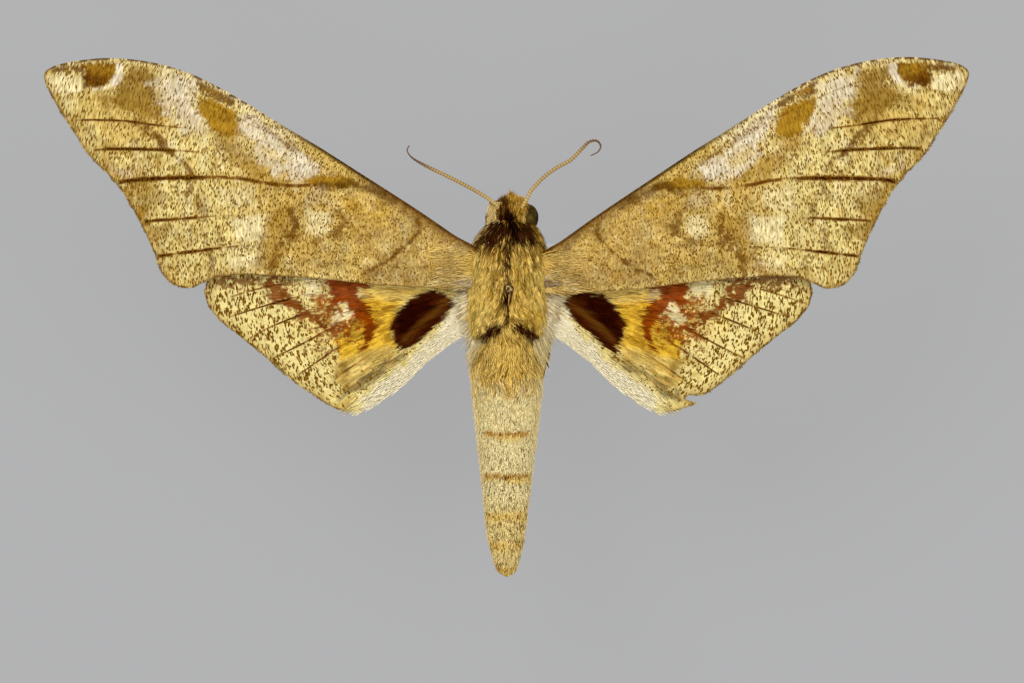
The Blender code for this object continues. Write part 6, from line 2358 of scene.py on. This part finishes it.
@dataclass
class Palp:
    """One palp, covered in short scales."""

    head: Head
    side: Side
    places: Sequence[Triple] = (
        (0.85, 0.75, -1.7), (0.9, 1.35, -2.05), (0.92, 1.75, -1.75), (0.8, 1.95, -1.15), (0.68, 2.0, -0.6),
    )
    radii: Sequence[float] = (0.34, 0.4, 0.42, 0.33, 0.12)
    sides: int = 16
    scale_count: int = 420
    scales: ClassVar[Scales] = Scales(
        (0.25, 0.5), (0.1, 0.17), (0, 0.05, 0.08, 0.08), (Tone.HEAD_GOLD, Tone.TAN, Tone.HEAD_PALE)
    )

    def build(self, finish: Material) -> Thing:
        """Makes the palp.

        Args:
            finish: Its material.

        Returns:
            The piece.
        """
        offsets = np.array(self.places) * (self.side.value, 1, 1)
        path = curve_through(self.head.place(offsets), False, 0.12)
        size = np.interp(np.linspace(0, 1, len(path)), np.linspace(0, 1, len(self.radii)), self.radii)
        core = tube(path, size * 0.9, self.sides, (1, 0, 0), (Tone.HEAD_GOLD,))
        draw = np.random.default_rng(95)
        pick = draw.integers(1, len(path) - 2, self.scale_count)
        ahead = unit(np.gradient(path, axis=0)[pick])
        out_to = (size[pick] * 0.8)[:, None]
        scales = self.scales.laid(draw, path[pick], ahead, (1.0, 0, 0), out_to, pick / len(path))
        node = f"palp_{self.side.word}"
        return Shape.joined([core, scales]).piece(f"{node}_scales", finish, "head_fur", node)


@dataclass
class Tongue:
    """The coiled tongue, ringed along its length."""

    x: float = 0.35
    turns: float = 1.6
    radii: tuple[float, float] = (1.05, 0.3)
    middle: tuple[float, float] = (8.2, -3.9)
    root: tuple[float, float] = (7.9, -1.9)
    stations: int = 40
    sides: int = 14

    def build(self, finish: Material) -> Thing:
        """Makes the tongue.

        Args:
            finish: Its material.

        Returns:
            The piece.
        """
        places = [(self.x, self.root[0], BODY_HEIGHT + self.root[1])]
        for share in np.linspace(0, 1, self.stations):
            turn = math.radians(105) - share * self.turns * 2 * math.pi
            reach = blend(*self.radii, share)
            places.append((
                self.x, self.middle[0] + math.cos(turn) * reach,
                BODY_HEIGHT + self.middle[1] + math.sin(turn) * reach,
            ))
        path = curve_through(places, False, 0.05)
        share = np.linspace(0, 1, len(path))
        radii = (0.17 - 0.06 * share) * (1 + 0.09 * np.sin(share * 520))
        coil = tube(path, radii, self.sides, (1, 0, 0), (Tone.HEAD_BROWN, Tone.DARK_BROWN))
        return coil.piece("proboscis_coil", finish, "feeler", "proboscis")


@dataclass
class Pin:
    """The pin, in one length from the block to its round head."""

    radius: float = 0.3
    head_radius: float = 0.64
    top: float = 41.0
    foot: float = 6.0
    sides: int = 32
    stations: int = 40
    head_stations: int = 22

    def build(self, finish: Material) -> Thing:
        """Makes the pin.

        Args:
            finish: Its material.

        Returns:
            The piece.
        """
        neck = self.top - 2 * self.head_radius
        rings = [(height, 1.0) for height in np.linspace(self.foot, neck - 0.25, self.stations)]
        rings += [(neck - 0.1, 1.08), (neck, 1.35)]
        turned = np.arange(1, self.head_stations) / self.head_stations
        for angle in math.pi * (0.12 + 0.88 * turned):
            out = self.head_radius * math.sin(angle) / self.radius
            rings.append((self.top - self.head_radius * (1 + math.cos(angle)), out))
        path = np.array([(0.0, 0.0, height) for height, _ in rings])
        radii = np.array([out for _, out in rings]) * self.radius
        made = tube(path, radii, self.sides, (1, 0, 0))
        return made.piece("pin", finish, "pin_steel", "stand_pin", "stand_pin_head")


@dataclass
class Block:
    """The foam block that holds the pin, with a dimple round it."""

    size: Triple = (44.0, 12.5, 8.0)
    middle_y: float = -0.3
    bevel: float = 0.8
    grid: float = 2.16  # the longest that an edge may be
    dimple: tuple[float, float] = (0.25, 0.8)  # depth and radius

    def build(self, finish: Material) -> Thing:
        """Makes the block.

        Args:
            finish: Its material.

        Returns:
            The piece.
        """
        work = bmesh.new()
        bmesh.ops.create_cube(work, size=1.0)
        bmesh.ops.scale(work, vec=self.size, verts=work.verts)
        bmesh.ops.translate(work, vec=(0, self.middle_y, self.size[2] / 2), verts=work.verts)
        bmesh.ops.bevel(work, geom=work.edges, offset=self.bevel, segments=4, affect="EDGES")
        bmesh.ops.triangulate(work, faces=work.faces)
        for _ in range(5):
            long_edges = [e for e in work.edges if e.calc_length() > self.grid]
            if not long_edges:
                break
            bmesh.ops.subdivide_edges(work, edges=long_edges, cuts=1)
            bmesh.ops.triangulate(work, faces=work.faces)
        work.verts.ensure_lookup_table()
        points = np.array([tuple(v.co) for v in work.verts])
        triangles = np.array([[v.index for v in f.verts] for f in work.faces])
        work.free()
        top = points[:, 2] > self.size[2] - 0.01
        depth, radius = self.dimple
        points[:, 2] -= top * depth * np.exp(-((np.hypot(points[:, 0], points[:, 1]) / radius) ** 2))
        return Shape(points, triangles).piece("block", finish, "block", "stand_base")


@dataclass
class Studio:
    """The floor, lights and camera."""

    lens: float = 200.0
    sensor: float = 36.0
    aim: tuple[float, float] = (0.42, -6.18)
    plane: float = 31.0
    across: float = 122.88
    sky: float = 0.6
    warmth: Triple = (1.0, 0.985, 0.94)
    floor_reach: float = 3.0
    lamps: Sequence[tuple] = (  # name, place, size and power
        ("key", (-0.35, 0.45, 0.75), 0.5, 4.9),
        ("fill", (0.5, 0.1, 0.7), 0.6, 2.2),
        ("back", (0.0, -0.6, 0.6), 0.6, 1.6),
    )

    def build(self, finish: Material) -> None:
        """Makes all of it.

        Args:
            finish: The floor's material.
        """
        mesh = bpy.data.meshes.new("floor")
        far = self.floor_reach
        mesh.from_pydata([(-far, -far, 0), (far, -far, 0), (far, far, 0), (-far, far, 0)], [], [(0, 1, 2, 3)])
        mesh.materials.append(finish)
        placed("floor", mesh)
        world = bpy.data.worlds.new("studio")
        world.use_nodes = True
        sky = world.node_tree.nodes["Background"].inputs
        sky["Color"].default_value = (*self.warmth, 1.0)
        sky["Strength"].default_value = self.sky
        bpy.context.scene.world = world
        for lamp in self.lamps:
            self.light(*lamp)
        self.camera()
        view = bpy.context.scene.view_settings
        view.view_transform = "Standard"
        view.look = "None"

    def light(self, name: str, place: Triple, size: float, power: float) -> None:
        """A soft square light aimed at the specimen.

        Args:
            name: Its name.
            place: Its place in metres.
            size: The length of its sides.
            power: Its power in watts.
        """
        lamp = bpy.data.lights.new(name, "AREA")
        lamp.shape = "SQUARE"
        lamp.size = size
        lamp.energy = power
        lamp.color = self.warmth
        made = placed(name, lamp)
        made.location = place
        aim = Vector((0, 0, BODY_HEIGHT * MM)) - Vector(place)
        made.rotation_euler = aim.to_track_quat("-Z", "Y").to_euler()

    def camera(self) -> None:
        """The camera, straight over the specimen, at the photo's framing."""
        lens = bpy.data.cameras.new("camera")
        lens.type = "PERSP"
        lens.lens = self.lens
        lens.sensor_width = self.sensor
        lens.clip_start, lens.clip_end = 0.05, 5.0
        made = placed("camera", lens)
        far = self.across * self.lens / self.sensor
        made.location = Vector((*self.aim, self.plane + far)) * MM
        bpy.context.scene.camera = made


ANTENNA_LEFT = [
    (-1.15, 9.9, 1.2), (-1.75, 10.55, 1.6), (-3.4, 11.65, 1.9), (-5.6, 12.85, 2.0), (-7.7, 13.9, 2.1),
    (-10.0, 15.0, 2.2), (-11.6, 15.95, 2.2), (-12.2, 16.8, 2.2), (-11.95, 17.45, 2.2),
]
ANTENNA_RIGHT = [
    (1.55, 9.9, 1.6), (2.15, 10.9, 2.0), (2.8, 12.1, 2.1), (4.4, 13.75, 2.2), (5.9, 14.8, 2.3),
    (7.5, 15.7, 2.4), (8.8, 17.0, 2.4), (9.7, 17.85, 2.4), (10.6, 18.0, 2.4), (11.1, 17.4, 2.4),
    (10.8, 16.7, 2.4), (9.9, 16.2, 2.4),
]
LEGS = {
    "leg_fore": [(1.3, 4.6, -3.6), (3.2, 7.2, -5.0), (2.5, 3.4, -6.6), (1.9, 0.6, -7.0), (1.6, -1.8, -6.9)],
    "leg_mid": [(1.7, 1.2, -4.0), (4.5, 0.2, -5.4), (4.1, -5.0, -5.9), (3.4, -8.0, -6.1), (2.8, -10.8, -6.0)],
    "leg_hind": [(1.7, -2.6, -3.8), (4.9, -4.0, -4.6), (4.5, -8.8, -4.3), (3.6, -12.4, -4.4),
                 (2.9, -15.6, -4.5)],
}
LEG_SPREAD = {Side.LEFT: 0.9, Side.RIGHT: 1.0}
FOREWING_SET = {Side.LEFT: (0.35, -0.55), Side.RIGHT: (-0.35, 0.55)}


def torn_outline() -> list[tuple[float, float]]:
    """The right hindwing's outline, with its torn notch.

    Returns:
        The outline's points.
    """
    outline = list(HINDWING_OUTLINE)
    cut, back = outline.index(TORN_AFTER), outline.index(TORN_BEFORE)
    outline[cut + 1 : back] = TORN_EDGE
    return outline


def build_wings() -> None:
    """Builds the four wings with their fringes and fur."""
    fore_finish = WingFinish("forewing_scale", (0.14, 0.42), 0.52, 0.9, 0.8, 1.0, 0.6, (4.5, 1.1), 2.4).make()
    hind_finish = WingFinish("hindwing_scale", (0.15, 0.33), 0.68, 1.7, 0.6, 0.75, 0.4).make()
    coat = CoatFinish("wing_hair", 0.65).make()
    fore_plan = Plan(FOREWING_OUTLINE, FOREWING_VEINS)
    hind_plans = {
        Side.LEFT: Plan(HINDWING_OUTLINE, HINDWING_VEINS),
        Side.RIGHT: Plan(torn_outline(), HINDWING_VEINS),
    }
    for side in Side:
        fore = Wing("forewing", side, fore_plan, FOREWING_MARKS, 0.0, FOREWING_SET[side])
        hind = Wing("hindwing", side, hind_plans[side], HINDWING_MARKS, HINDWING_DROP, (0.0, 0.0),
                    ground_fleck=0.8, broad=len(HINDWING_MARKS) - 1, fan=(*HAIR_ROOT, 22.0))
        fore.build(fore_finish)
        hind.build(hind_finish)
        for wing in (fore, hind):
            wing.fringe(coat)
            wing.fur(coat)


def build_body() -> None:
    """Builds the body, its coat and its small parts."""
    body, head = Body(), Head()
    Skin(body, head).build(CoatFinish("body_skin", 0.8).make())
    fur = CoatFinish("body_fur").make()
    coat = Coat(body, head)
    coat.thorax(fur)
    coat.abdomen(fur)
    coat.face(fur)
    horn = CoatFinish("horn", 0.5, 0.0, 0.5, 7.0, 3.0, 0.6, (0.02, 0.6)).make()
    scaled = CoatFinish("leg_scale", 0.7, 0.1).make()
    eye = EyeFinish().make()
    for side in Side:
        Eye(head, side).build(eye)
        Palp(head, side).build(scaled)
        for kind, joints in LEGS.items():
            Leg(kind, side, joints, LEG_SPREAD[side]).build(scaled)
    Feeler(Side.LEFT, ANTENNA_LEFT).build(horn)
    Feeler(Side.RIGHT, ANTENNA_RIGHT).build(horn)
    Tongue().build(horn)


def main() -> None:
    """Builds the specimen, its stand and the studio."""
    logging.basicConfig(level=logging.INFO, format="%(name)s %(message)s")
    build_wings()
    build_body()
    Pin().build(SteelFinish().make())
    Block().build(FoamFinish().make())
    Studio().build(FloorFinish().make())


if __name__ == "__main__":
    main()
